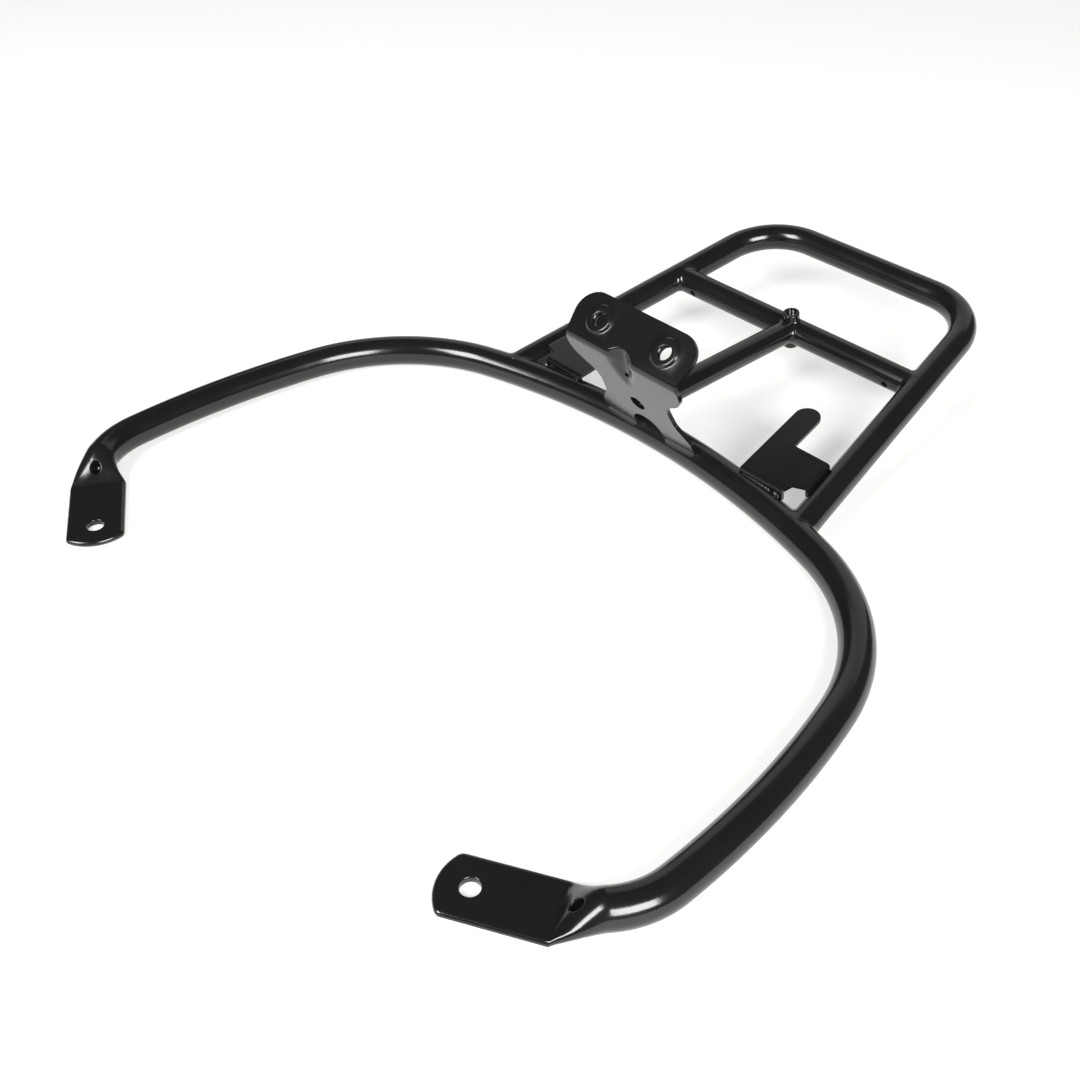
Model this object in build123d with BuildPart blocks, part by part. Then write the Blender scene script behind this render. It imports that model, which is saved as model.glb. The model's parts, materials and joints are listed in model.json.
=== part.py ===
import os
from math import cos, degrees, radians, sin, sqrt, tan

from build123d import *

os.makedirs("parts", exist_ok=True)

# ---- driving dimensions, mm and degrees ----
hoop_tube, hoop_wall = 18.0, 1.8        # outside diameter and wall of the grab hoop
rack_tube, rack_wall = 16.4, 1.6        # rack loop
cross_tube, strut_tube, brace_wall = 15.6, 14.5, 1.5

rear_radius, rear_half_angle = 424.0, 17.5      # shallow run across the back of the seat
shoulder_radius, shoulder_angle = 110.0, 59.7
side_radius, side_angle = 462.0, 14.8
front_radius, front_angle = 45.0, 58.4

end_straight = 39.3         # end of the last bend to the fixing hole
end_crease = 37.0           # crease of the flattening to the fixing hole
end_width = 30.5
end_tip, end_tip_radius = 14.9, 23.0
end_hole = 9.0
drain_hole, drain_offset = 5.5, 43.9
flatten_length = 19.0

rack_rise = 9.63            # slope of the rack, rising rearwards
leg_toe = 8.07              # each leg leans inwards going rearwards
leg_root_x, leg_root_rise = 110.8, 0.5
rack_reach = 193.9          # hoop axis to rear tube axis, level
rack_corner_radius = 39.0
cross_reach, cross_drop = 116.7, 0.3
strut_front_rise = 27.4     # strut axis over the hoop axis, at the bracket
bush_diameter, bush_core = 10.0, 5.0     # core of an M6 thread
bush_above, bush_below = 4.6, 3.6
vent_hole, vent_inset = 4.0, 18.0

sheet = 2.5                 # bracket sheet
bend_y, bend_z = -37.5, 66.4            # outside corner of the bracket bend, from the hoop axis
flange_angle, flange_length = 43.5, 28.6
flange_half, flange_top_half, flange_corner = 39.6, 44.8, 13.0
bracket_spacing, bracket_hole, bracket_hole_up = 47.6, 9.0, 14.8
pad_diameter, pad_foot_diameter, pad_height = 14.0, 18.5, 1.2
collar_diameter, collar_depth = 12.2, 3.0    # drawn collar round each bolt hole, behind the pad
web_lean = 26.5             # web from the upright
shoulder_half, shoulder_down = 41.0, 16.5
neck_half, neck_top, neck_bottom = 25.5, 26.0, 44.0
foot_half, foot_top = 34.0, 54.0
arch_half, arch_top = 10.5, 52.5
web_corner = 6.0
window, window_down = 10.0, 40.0
pip, pip_down = 3.6, 14.5
bend_radius, bend_inner = 4.0, 1.5

plate_sheet = 2.0
plate_lift = 12.5           # top of the plates over the hoop axis
plate_front, plate_depth = -4.0, 28.0
plate_outer = 91.0
plate_leg_gap = 6.6         # leg axis to the outer face of the plate
relief_x, relief_y = 92.7, 3.5
finger_width, finger_x, finger_reach = 15.0, 64.9, 50.5
finger_turn = 5.2
fold_radius = 1.9
front_lip, side_lip = 7.0, 6.5

bead = 2.0                  # leg size of the weld beads
weld_clearance = 0.4        # beads stay this far off the floor

# ---- derived sizes ----
rh, rr, rc, rs, rb = hoop_tube / 2, rack_tube / 2, cross_tube / 2, strut_tube / 2, bush_diameter / 2
slope, toe = tan(radians(rack_rise)), tan(radians(leg_toe))
turn_1 = rear_half_angle
turn_2 = turn_1 + shoulder_angle
turn_3 = turn_2 + side_angle
turn_4 = turn_3 + front_angle


def arc_end(x, y, turn, radius, angle):
    """End of a level clockwise arc that starts at (x, y) with the heading turned by turn."""
    a = radians(turn)
    b = radians(turn + angle)
    return x + radius * (sin(b) - sin(a)), y + radius * (cos(b) - cos(a))


x_1, y_1 = arc_end(0, 0, 0, rear_radius, rear_half_angle)
x_2, y_2 = arc_end(x_1, y_1, turn_1, shoulder_radius, shoulder_angle)
x_3, y_3 = arc_end(x_2, y_2, turn_2, side_radius, side_angle)
x_4, y_4 = arc_end(x_3, y_3, turn_3, front_radius, front_angle)
ux, uy = cos(radians(turn_4)), -sin(radians(turn_4))
hole_x, hole_y = x_4 + end_straight * ux, y_4 + end_straight * uy
tip_centre = end_tip - end_tip_radius
tip_corner = tip_centre + sqrt(end_tip_radius**2 - (end_width / 2) ** 2)
front_y = hole_y + tip_corner * uy + end_width / 2 * ux
leg_root_y = sqrt(rear_radius**2 - leg_root_x**2) - rear_radius

# Origin: middle of the outside box, on the floor.
yo = -(front_y + rack_reach + rr) / 2
zo = rh


def at(x, y, z):
    """Point given from the middle of the hoop's rear run."""
    return Vector(x, y + yo, z + zo)


def rack_z(y):
    """Height of the rack axis plane over the hoop axis."""
    return leg_root_rise + slope * (y - leg_root_y)


def leg_x(y):
    """Half the distance between the leg axes."""
    return leg_root_x - toe * (y - leg_root_y)


along_rack = Vector(0, cos(radians(rack_rise)), sin(radians(rack_rise)))
up_rack = Vector(0, -sin(radians(rack_rise)), cos(radians(rack_rise)))
hoop_plane = Plane(origin=at(0, 0, 0), x_dir=(1, 0, 0), z_dir=(0, 0, 1))
hoop_section = Plane(origin=at(0, 0, 0), x_dir=(0, 1, 0), z_dir=(1, 0, 0))
rack_plane = Plane(origin=at(0, leg_root_y, leg_root_rise), x_dir=(1, 0, 0), z_dir=up_rack)


def end_place(back, half_high):
    """Plane across the hoop tube, back from the crease, level with the pressed underside."""
    over = back - (end_straight - end_crease)
    turn = turn_4 - degrees(max(over, 0) / front_radius)
    px, py = arc_end(x_3, y_3, turn_3, front_radius, turn - turn_3)
    a = radians(turn)
    if over < 0:
        px, py = px - over * ux, py - over * uy
    return Plane(origin=at(px, py, half_high - rh), x_dir=(sin(a), cos(a), 0), z_dir=(cos(a), -sin(a), 0))


def end_outline(frac, inset):
    """Outline across the hoop tube: a circle at frac 0, a flat slot at frac 1."""
    press = frac**1.5
    high = rh + (hoop_wall - rh) * press
    wide = rh + (end_width / 2 - rh) * press - inset
    thin = max(high - inset, 0.15)
    kx = wide - thin + thin * cos(radians(45)) * (1 - frac)
    kz = thin * (sin(radians(45)) * (1 - frac) + frac)
    with BuildSketch(end_place(flatten_length * (1 - frac), high)) as section:
        with BuildLine():
            if frac < 1:
                ThreePointArc((-kx, kz), (0, thin), (kx, kz))
            else:
                Line((-kx, kz), (kx, kz))
            ThreePointArc((kx, kz), (wide, 0), (kx, -kz))
            if frac < 1:
                ThreePointArc((kx, -kz), (0, -thin), (-kx, -kz))
            else:
                Line((kx, -kz), (-kx, -kz))
            ThreePointArc((-kx, -kz), (-wide, 0), (-kx, kz))
        make_face()
    return section.sketch


# ---- grab hoop: one tube, bent level, both ends pressed flat ----
flat_plane = Plane(origin=at(hole_x, hole_y, -rh), x_dir=(ux, uy, 0), z_dir=(0, 0, 1))
round_turn = front_angle - degrees((flatten_length - end_straight + end_crease) / front_radius)
with BuildLine(hoop_plane) as hoop_run:
    rear = JernArc((0, 0), (1, 0), rear_radius, -rear_half_angle)
    shoulder = JernArc(rear @ 1, rear % 1, shoulder_radius, -shoulder_angle)
    side = JernArc(shoulder @ 1, shoulder % 1, side_radius, -side_angle)
    JernArc(side @ 1, side % 1, front_radius, -round_turn)


def hoop_half(inset):
    """Right half of the hoop shape, from the middle to the crease, inset by a wall."""
    with BuildPart() as half:
        with BuildSketch(hoop_section):
            Circle(rh - inset)
        sweep(path=hoop_run.wires()[0])
        loft(sections=[end_outline(frac, inset) for frac in (0, 0.25, 0.5, 0.75, 1)], ruled=True)
    return half.part


hoop_outer = hoop_half(0)
hoop_bore = hoop_half(hoop_wall)
with BuildPart() as tip:
    with BuildSketch(flat_plane):
        with Locations((tip_centre, 0)):
            Circle(end_tip_radius)
    extrude(amount=2 * hoop_wall)
    with BuildSketch(end_place(0, hoop_wall).offset(end_crease + tip_centre)):
        SlotOverall(end_width, 2 * hoop_wall)
    extrude(amount=2 * end_tip_radius, mode=Mode.INTERSECT)

with BuildPart() as grab_hoop:
    add(hoop_outer)
    with BuildSketch(end_place(0, hoop_wall)):
        SlotOverall(end_width, 2 * hoop_wall)
    extrude(amount=end_crease + tip_centre)
    add(tip.part)
    with BuildSketch(flat_plane):
        Circle(end_hole / 2)
    extrude(amount=2 * hoop_wall, mode=Mode.SUBTRACT)
    add(hoop_bore, mode=Mode.SUBTRACT)
    with BuildSketch(flat_plane.offset(hoop_wall)):
        with Locations((-drain_offset, 0)):
            Circle(drain_hole / 2)
    extrude(amount=hoop_tube, mode=Mode.SUBTRACT)
    mirror(about=Plane.YZ)


# ---- rack loop: one tube, both legs saddle-cut to the hoop ----
leg_run = (rack_reach - leg_root_y) / cos(radians(rack_rise))
with BuildLine(rack_plane) as rack_run:
    FilletPolyline(
        (leg_root_x, 0),
        (leg_x(rack_reach), leg_run),
        (-leg_x(rack_reach), leg_run),
        (-leg_root_x, 0),
        radius=rack_corner_radius,
    )


def rack_shape(inset):
    """Solid run of the rack loop, inset by a wall."""
    path = rack_run.wires()[0]
    with BuildPart() as run:
        with BuildSketch(Plane(origin=path @ 0, z_dir=path % 0)):
            Circle(rr - inset)
        sweep(path=path)
    return run.part


rack_outer = rack_shape(0)
with BuildPart() as rack_loop:
    add(rack_outer)
    add(rack_shape(rack_wall), mode=Mode.SUBTRACT)
    add(hoop_outer, mode=Mode.SUBTRACT)
    add(hoop_outer.mirror(Plane.YZ), mode=Mode.SUBTRACT)

# ---- crossbar ----
cross_half = leg_x(cross_reach)
cross_rise = rack_z(cross_reach) - cross_drop
cross_section = Plane(origin=at(-cross_half, cross_reach, cross_rise), x_dir=(0, 1, 0), z_dir=(1, 0, 0))
bush_axis = Plane(origin=at(0, cross_reach, cross_rise), x_dir=(1, 0, 0), z_dir=up_rack)
bush_up, bush_down = rc + bush_above, rc + bush_below
with BuildPart() as cross_solid:
    with BuildSketch(cross_section):
        Circle(rc)
    extrude(amount=2 * cross_half)
with BuildPart() as bush_solid:
    with BuildSketch(bush_axis.offset(-bush_down)):
        Circle(rb)
    extrude(amount=bush_up + bush_down)
with BuildPart() as rack_crossbar:
    with BuildSketch(cross_section):
        Circle(rc)
        Circle(rc - brace_wall, mode=Mode.SUBTRACT)
    extrude(amount=2 * cross_half)
    add(rack_outer, mode=Mode.SUBTRACT)
    add(bush_solid.part, mode=Mode.SUBTRACT)
    for side_x in (-1, 1):
        vent_x = side_x * (cross_half - vent_inset)
        with BuildSketch(Plane(origin=at(vent_x, cross_reach, cross_rise), z_dir=(0, -1, -0.35))):
            Circle(vent_hole / 2)
        extrude(amount=2 * rc, mode=Mode.SUBTRACT)

# ---- threaded bush through the crossbar ----
with BuildPart() as rack_bush:
    add(bush_solid.part)
    with BuildSketch(bush_axis.offset(-bush_down)):
        Circle(bush_core / 2)
    extrude(amount=bush_up + bush_down, mode=Mode.SUBTRACT)

# ---- mounting bracket: one sheet, bent once ----
corner = at(0, bend_y, bend_z)
fa, wa = radians(flange_angle), radians(web_lean)
flange_plane = Plane(origin=corner, x_dir=(1, 0, 0), z_dir=(0, -sin(fa), cos(fa)))
web_plane = Plane(origin=corner, x_dir=(1, 0, 0), z_dir=(0, -cos(wa), -sin(wa)))
with BuildPart() as mounting_bracket:
    with BuildSketch(flange_plane) as flange_shape:
        Polygon(
            (-flange_half, 0),
            (flange_half, 0),
            (flange_top_half, flange_length),
            (-flange_top_half, flange_length),
            align=None,
        )
        fillet(flange_shape.vertices().group_by(Axis.Y)[-1], flange_corner)
    extrude(amount=-sheet)
    with BuildSketch(web_plane) as web_shape:
        Polygon(
            (-flange_half, 0),
            (-shoulder_half, -shoulder_down),
            (-neck_half, -neck_top),
            (-neck_half, -neck_bottom),
            (-foot_half, -foot_top),
            (-foot_half, -foot_top - 16),
            (foot_half, -foot_top - 16),
            (foot_half, -foot_top),
            (neck_half, -neck_bottom),
            (neck_half, -neck_top),
            (shoulder_half, -shoulder_down),
            (flange_half, 0),
            align=None,
        )
        rounded = [v for v in web_shape.vertices() if -foot_top - 1 < v.Y < -shoulder_down + 1]
        fillet(rounded, web_corner)
        with Locations((0, -arch_top - arch_half)):
            Circle(arch_half, mode=Mode.SUBTRACT)
        with Locations((0, -arch_top - arch_half - 10)):
            Rectangle(2 * arch_half, 20, mode=Mode.SUBTRACT)
        with Locations((0, -window_down)):
            Circle(window / 2, mode=Mode.SUBTRACT)
        with Locations((0, -pip_down)):
            Circle(pip / 2, mode=Mode.SUBTRACT)
    extrude(amount=-sheet)
    bends = [e for e in mounting_bracket.edges().filter_by(Axis.X) if e.length > 1.8 * flange_half]
    bends = sorted(bends, key=lambda e: (e.center() - corner).length)
    fillet(bends[0], bend_radius)
    bends = [e for e in mounting_bracket.edges().filter_by(Axis.X) if e.length > 1.8 * flange_half]
    bends = [e for e in bends if 0.5 * sheet < (e.center() - corner).length < 2.5 * sheet]
    bends = sorted(bends, key=lambda e: -e.center().Y)
    fillet(bends[0], bend_inner)
    for side_x in (-1, 1):
        pad_at = (side_x * bracket_spacing / 2, bracket_hole_up)
        for lift, pad_mode in ((-sheet, Mode.SUBTRACT), (0, Mode.ADD)):
            with BuildSketch(flange_plane.offset(lift)):
                with Locations(pad_at):
                    Circle(pad_foot_diameter / 2)
            with BuildSketch(flange_plane.offset(lift + pad_height)):
                with Locations(pad_at):
                    Circle(pad_diameter / 2)
            loft(mode=pad_mode)
        with BuildSketch(flange_plane.offset(pad_height)):
            with Locations(pad_at):
                Circle(collar_diameter / 2)
        extrude(amount=-sheet - collar_depth)
        with BuildSketch(flange_plane.offset(pad_height)):
            with Locations(pad_at):
                Circle(bracket_hole / 2)
        extrude(amount=-sheet - collar_depth, mode=Mode.SUBTRACT)
    add(hoop_outer, mode=Mode.SUBTRACT)
    add(hoop_outer.mirror(Plane.YZ), mode=Mode.SUBTRACT)

# ---- centre strut: bracket to crossbar ----
web_back = web_plane.offset(-sheet)
strut_foot = Vector(0, bend_y + (bend_z - strut_front_rise) * tan(wa), strut_front_rise)
strut_line = Vector(0, cross_reach, cross_rise) - strut_foot
strut_axis = Plane(origin=at(*strut_foot), x_dir=(1, 0, 0), z_dir=strut_line)
with BuildPart() as strut_solid:
    with BuildSketch(strut_axis):
        Circle(rs)
    extrude(amount=strut_line.length)
    with BuildSketch(web_back):
        Rectangle(200, 400)
    extrude(amount=30, mode=Mode.SUBTRACT)
with BuildPart() as centre_strut:
    add(strut_solid.part)
    with BuildSketch(strut_axis):
        Circle(rs - brace_wall)
    extrude(amount=strut_line.length, mode=Mode.SUBTRACT)
    add(cross_solid.part, mode=Mode.SUBTRACT)
    add(bush_solid.part, mode=Mode.SUBTRACT)

# ---- case plates: flat top on two folded lips, one finger each ----
plate_plane = Plane(origin=at(0, 0, plate_lift), x_dir=(1, 0, 0), z_dir=up_rack)
ft = radians(finger_turn)
tip_left = (finger_x - finger_width / 2 * cos(ft), finger_reach - finger_width / 2 * sin(ft))
tip_right = (finger_x + finger_width / 2 * cos(ft), finger_reach + finger_width / 2 * sin(ft))
tip_mid = (finger_x - finger_width / 2 * sin(ft), finger_reach + finger_width / 2 * cos(ft))
plate_inner = tip_left[0] + (finger_reach - plate_front) * tan(ft)
slot_x = tip_right[0] + (finger_reach - plate_depth) * tan(ft)
leg_side = leg_x(relief_y + 2.5) - plate_leg_gap
leg_side_rear = leg_x(plate_depth) - plate_leg_gap


def fold_strip(start, end, deep):
    """Folded lip: a strip of sheet that hangs from the line start-end, outer face on the line."""
    a, b = Vector(*start), Vector(*end)
    across = Vector(a.Y - b.Y, b.X - a.X).normalized() * plate_sheet
    c, d = b + across, a + across
    middle = plate_plane.from_local_coords((a + b) / 2)
    with BuildPart() as strip:
        with BuildSketch(plate_plane):
            with BuildLine():
                Polyline((a.X, a.Y), (b.X, b.Y), (c.X, c.Y), (d.X, d.Y), close=True)
            make_face()
        extrude(amount=-deep)
        folds = strip.edges().sort_by(lambda e: (e.center() - middle).length)
        fillet(folds[0], fold_radius)
    return strip.part


with BuildPart() as case_plate_right:
    with BuildSketch(plate_plane):
        with BuildLine():
            Polyline(
                tip_left,
                (plate_inner, plate_front + plate_sheet),
                (plate_outer, plate_front + plate_sheet),
                (relief_x, relief_y),
                (leg_side - plate_sheet, relief_y + 2.5),
                (leg_side_rear - plate_sheet, plate_depth),
                (slot_x, plate_depth),
                tip_right,
            )
            ThreePointArc(tip_right, tip_mid, tip_left)
        make_face()
    extrude(amount=-plate_sheet)
    add(fold_strip((plate_inner, plate_front), (plate_outer, plate_front), front_lip))
    add(fold_strip((leg_side, relief_y + 2.5), (leg_side_rear, plate_depth), side_lip))
    add(hoop_outer, mode=Mode.SUBTRACT)
    add(rack_outer, mode=Mode.SUBTRACT)
with BuildPart() as case_plate_left:
    add(case_plate_right.part.mirror(Plane.YZ))


# ---- weld beads: what lies within a bead of both surfaces and in neither ----
hoop_grown = hoop_half(-bead)
rack_grown = rack_shape(-bead)
with BuildPart() as cross_grown:
    with BuildSketch(cross_section):
        Circle(rc + bead)
    extrude(amount=2 * cross_half)
with BuildPart() as strut_grown:
    with BuildSketch(strut_axis):
        Circle(rs + bead)
    extrude(amount=strut_line.length)
with BuildPart() as right_side:
    with BuildSketch(Plane.XY):
        with Locations((500, 0)):
            Rectangle(1000, 1000)
    extrude(amount=500, both=True)

with BuildPart() as leg_weld_right:
    add(rack_grown)
    add(hoop_grown, mode=Mode.INTERSECT)
    add(rack_outer, mode=Mode.SUBTRACT)
    add(hoop_outer, mode=Mode.SUBTRACT)
    with BuildSketch(Plane.XY.offset(weld_clearance)):
        Rectangle(1000, 1000)
    extrude(amount=-hoop_tube, mode=Mode.SUBTRACT)
with BuildPart() as crossbar_weld_right:
    add(cross_grown.part)
    add(rack_grown, mode=Mode.INTERSECT)
    add(right_side.part, mode=Mode.INTERSECT)
    add(cross_solid.part, mode=Mode.SUBTRACT)
    add(rack_outer, mode=Mode.SUBTRACT)
with BuildPart() as strut_weld_front:
    add(strut_grown.part)
    with BuildSketch(web_back.offset(-bead)):
        Rectangle(200, 400)
    extrude(amount=bead, mode=Mode.INTERSECT)
    add(strut_solid.part, mode=Mode.SUBTRACT)
with BuildPart() as strut_weld_rear:
    add(strut_grown.part)
    add(cross_grown.part, mode=Mode.INTERSECT)
    add(strut_solid.part, mode=Mode.SUBTRACT)
    add(cross_solid.part, mode=Mode.SUBTRACT)
    with BuildSketch(bush_axis):
        Circle(rb + bead)
    extrude(amount=2 * rc, both=True, mode=Mode.SUBTRACT)
with BuildPart() as bush_weld:
    with BuildSketch(bush_axis):
        Circle(rb + bead)
    extrude(amount=2 * rc)
    add(cross_grown.part, mode=Mode.INTERSECT)
    add(bush_solid.part, mode=Mode.SUBTRACT)
    add(cross_solid.part, mode=Mode.SUBTRACT)
    add(strut_solid.part, mode=Mode.SUBTRACT)
with BuildPart() as lip_weld_right:
    add(fold_strip((plate_inner, plate_front - plate_sheet), (plate_outer, plate_front - plate_sheet), front_lip))
    add(hoop_grown, mode=Mode.INTERSECT)
    add(hoop_outer, mode=Mode.SUBTRACT)
    add(case_plate_right.part, mode=Mode.SUBTRACT)
with BuildPart() as side_weld_right:
    out_x = plate_sheet / cos(radians(leg_toe))
    add(fold_strip((leg_side + out_x, relief_y + 2.5), (leg_side_rear + out_x, plate_depth), side_lip))
    add(rack_grown, mode=Mode.INTERSECT)
    add(rack_outer, mode=Mode.SUBTRACT)
    add(case_plate_right.part, mode=Mode.SUBTRACT)
with BuildPart() as bracket_weld_right:
    with BuildSketch(web_plane):
        with Locations(((arch_half + foot_half) / 2, -foot_top - 12)):
            Rectangle(foot_half - arch_half, 24)
    extrude(amount=bead)
    add(hoop_grown, mode=Mode.INTERSECT)
    add(hoop_outer, mode=Mode.SUBTRACT)

right_nodes = {
    "leg_weld": leg_weld_right,
    "crossbar_weld": crossbar_weld_right,
    "lip_weld": lip_weld_right,
    "side_weld": side_weld_right,
    "bracket_weld": bracket_weld_right,
}
single_nodes = {
    "grab_hoop": grab_hoop,
    "rack_loop": rack_loop,
    "rack_crossbar": rack_crossbar,
    "centre_strut": centre_strut,
    "rack_bush": rack_bush,
    "mounting_bracket": mounting_bracket,
    "case_plate_right": case_plate_right,
    "case_plate_left": case_plate_left,
    "strut_weld_front": strut_weld_front,
    "strut_weld_rear": strut_weld_rear,
    "bush_weld": bush_weld,
}
for name, node in single_nodes.items():
    node.part.label = name
    export_step(node.part, f"parts/{name}.step")
for name, node in right_nodes.items():
    node.part.label = f"{name}_right"
    export_step(node.part, f"parts/{name}_right.step")
    with BuildPart() as other:
        add(node.part.mirror(Plane.YZ))
    other.part.label = f"{name}_left"
    export_step(other.part, f"parts/{name}_left.step")
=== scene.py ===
"""Rear luggage rack of a motor scooter: a bent grab hoop with pressed ends, a rack loop behind it,
a folded mounting bracket and two case plates, all in black powder coat, on a pale studio floor."""

import json
import math
from types import SimpleNamespace

import bmesh
import bpy
import numpy as np
from bpy.props import FloatProperty, FloatVectorProperty, PointerProperty
from bpy.types import Operator, Panel, PropertyGroup
from mathutils import Euler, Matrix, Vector


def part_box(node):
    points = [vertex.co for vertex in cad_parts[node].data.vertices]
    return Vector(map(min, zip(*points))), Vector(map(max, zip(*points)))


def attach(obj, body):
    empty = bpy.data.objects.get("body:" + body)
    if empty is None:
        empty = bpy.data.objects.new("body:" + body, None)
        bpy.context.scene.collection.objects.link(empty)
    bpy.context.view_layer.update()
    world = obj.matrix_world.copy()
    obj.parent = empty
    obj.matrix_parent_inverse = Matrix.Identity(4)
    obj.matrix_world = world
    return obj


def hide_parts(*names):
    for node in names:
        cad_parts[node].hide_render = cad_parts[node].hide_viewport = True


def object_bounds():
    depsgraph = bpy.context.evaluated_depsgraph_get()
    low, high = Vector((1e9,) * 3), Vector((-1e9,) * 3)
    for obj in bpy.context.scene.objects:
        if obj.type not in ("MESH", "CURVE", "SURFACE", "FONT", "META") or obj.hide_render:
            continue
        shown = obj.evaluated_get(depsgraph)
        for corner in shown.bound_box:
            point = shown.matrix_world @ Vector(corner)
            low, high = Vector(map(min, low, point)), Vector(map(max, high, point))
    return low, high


bl_info = {
    "name": "Scooter luggage rack",
    "version": (1, 0, 0),
    "blender": (4, 5, 0),
    "location": "View3D > Sidebar > Luggage rack",
    "description": "Builds the grab hoop, rack, bracket, plates and welds of a scooter luggage rack",
    "category": "Add Mesh",
}

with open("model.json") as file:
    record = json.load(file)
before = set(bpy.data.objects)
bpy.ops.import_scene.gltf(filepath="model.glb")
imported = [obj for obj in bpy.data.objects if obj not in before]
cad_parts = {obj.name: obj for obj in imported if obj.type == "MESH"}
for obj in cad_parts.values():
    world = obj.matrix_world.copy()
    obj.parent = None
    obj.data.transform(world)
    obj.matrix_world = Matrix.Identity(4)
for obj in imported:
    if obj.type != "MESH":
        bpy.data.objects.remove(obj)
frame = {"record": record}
cad_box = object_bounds()

MM = 0.001
UP = np.array([0.0, 0.0, 1.0])
ACROSS = np.array([1.0, 0.0, 0.0])
REARWARDS = np.array([0.0, 1.0, 0.0])
RING = 64                       # points round a tube
TOP_CELLS = 24                  # of them, cells on the flat of a pressed end
SIDE_CELLS = (RING - 2 * TOP_CELLS) // 2
INTO = 0.3                      # how far a tube's end goes into the part that it meets
LEG_END = 26.0                  # last straight part of a leg, which is led on to the hoop
PRESSED_RIM = 0.7               # share of the hole rim that a drilled drain hole has
MERGE, SPECK = 0.004, 0.002     # points closer than the first are one, faces smaller than the second go


# ---------------------------------------------------------------- sizes

def length(name, size, description):
    """A length property whose default is given in millimetres."""
    return FloatProperty(name=name, description=description, default=size * MM, min=-1, max=2, unit="LENGTH")


def angle(name, size, description):
    """An angle property whose default is given in degrees."""
    return FloatProperty(name=name, description=description, default=math.radians(size), unit="ROTATION")


def share(name, size, description):
    """A plain number from 0 to 1."""
    return FloatProperty(name=name, description=description, default=size, min=0, max=1, subtype="FACTOR")


def radiance(name, size, description):
    """How bright a lit surface is."""
    return FloatProperty(name=name, description=description, default=size, min=0)


class HoopSizes(PropertyGroup):
    tube: length("Tube", 18.0, "Outside diameter of the hoop tube")
    wall: length("Wall", 1.8, "Wall of the hoop tube; a pressed end is two walls thick")
    rear_radius: length("Rear radius", 424.0, "Bend across the back of the seat")
    rear_turn: angle("Rear turn", 17.5, "Half of the turn of the rear bend")
    shoulder_radius: length("Shoulder radius", 110.0, "Bend at each shoulder")
    shoulder_turn: angle("Shoulder turn", 59.7, "Turn of each shoulder")
    side_radius: length("Side radius", 462.0, "Bend along each side")
    side_turn: angle("Side turn", 14.8, "Turn of each side")
    front_radius: length("Front radius", 45.0, "Bend in front of each side")
    front_turn: angle("Front turn", 58.4, "Turn of each front bend")
    end_straight: length("End straight", 39.3, "From the last bend to the fixing hole")
    end_crease: length("End crease", 37.0, "From the crease of the pressing to the fixing hole")
    end_width: length("End width", 30.5, "Width of a pressed end")
    end_tip: length("End tip", 14.9, "From the fixing hole to the tip")
    end_tip_radius: length("Tip radius", 23.0, "Radius of the tip")
    end_corner: length("End corner", 4.0, "Rounding of the corners beside the tip")
    end_hole: length("End hole", 9.0, "Diameter of the fixing hole")
    flatten: length("Flattening", 19.0, "Length over which the tube goes from round to flat")
    drain_hole: length("Drain hole", 5.5, "Diameter of the drain hole on the slope of the pressing")
    drain_back: length("Drain hole place", 43.9, "From the fixing hole back to the drain hole")
    rim: length("Hole rim", 0.6, "Rounding of the hole edges")


class RackSizes(PropertyGroup):
    tube: length("Rack tube", 16.4, "Outside diameter of the rack loop")
    root_x: length("Leg root", 110.8, "Half distance between the legs at the hoop")
    root_rise: length("Leg root rise", 0.5, "Height of the leg axis over the hoop axis at the root")
    reach: length("Reach", 193.9, "Level distance from the hoop axis to the rear tube axis")
    toe: angle("Toe-in", 8.07, "Lean of each leg towards the middle")
    corner: length("Rack corner", 39.0, "Bend radius of the rear corners")
    cross_tube: length("Crossbar tube", 15.6, "Outside diameter of the crossbar")
    cross_reach: length("Crossbar place", 116.7, "Level distance from the hoop axis to the crossbar axis")
    cross_drop: length("Crossbar drop", 0.3, "Crossbar axis under the rack plane")
    vent: length("Vent hole", 4.0, "Diameter of the vent holes in the crossbar")
    vent_inset: length("Vent inset", 18.0, "From the leg axis to the vent hole")
    strut_tube: length("Strut tube", 14.5, "Outside diameter of the centre strut")
    strut_rise: length("Strut rise", 27.4, "Height of the strut axis at the bracket over the hoop axis")
    bush: length("Bush", 10.0, "Outside diameter of the threaded bush")
    bush_core: length("Bush core", 5.0, "Core diameter of its thread")
    bush_pitch: length("Thread pitch", 1.0, "Pitch of its thread")
    bush_above: length("Bush above", 4.6, "How far the bush stands over the crossbar")
    bush_below: length("Bush below", 3.6, "How far the bush hangs under the crossbar")


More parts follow.
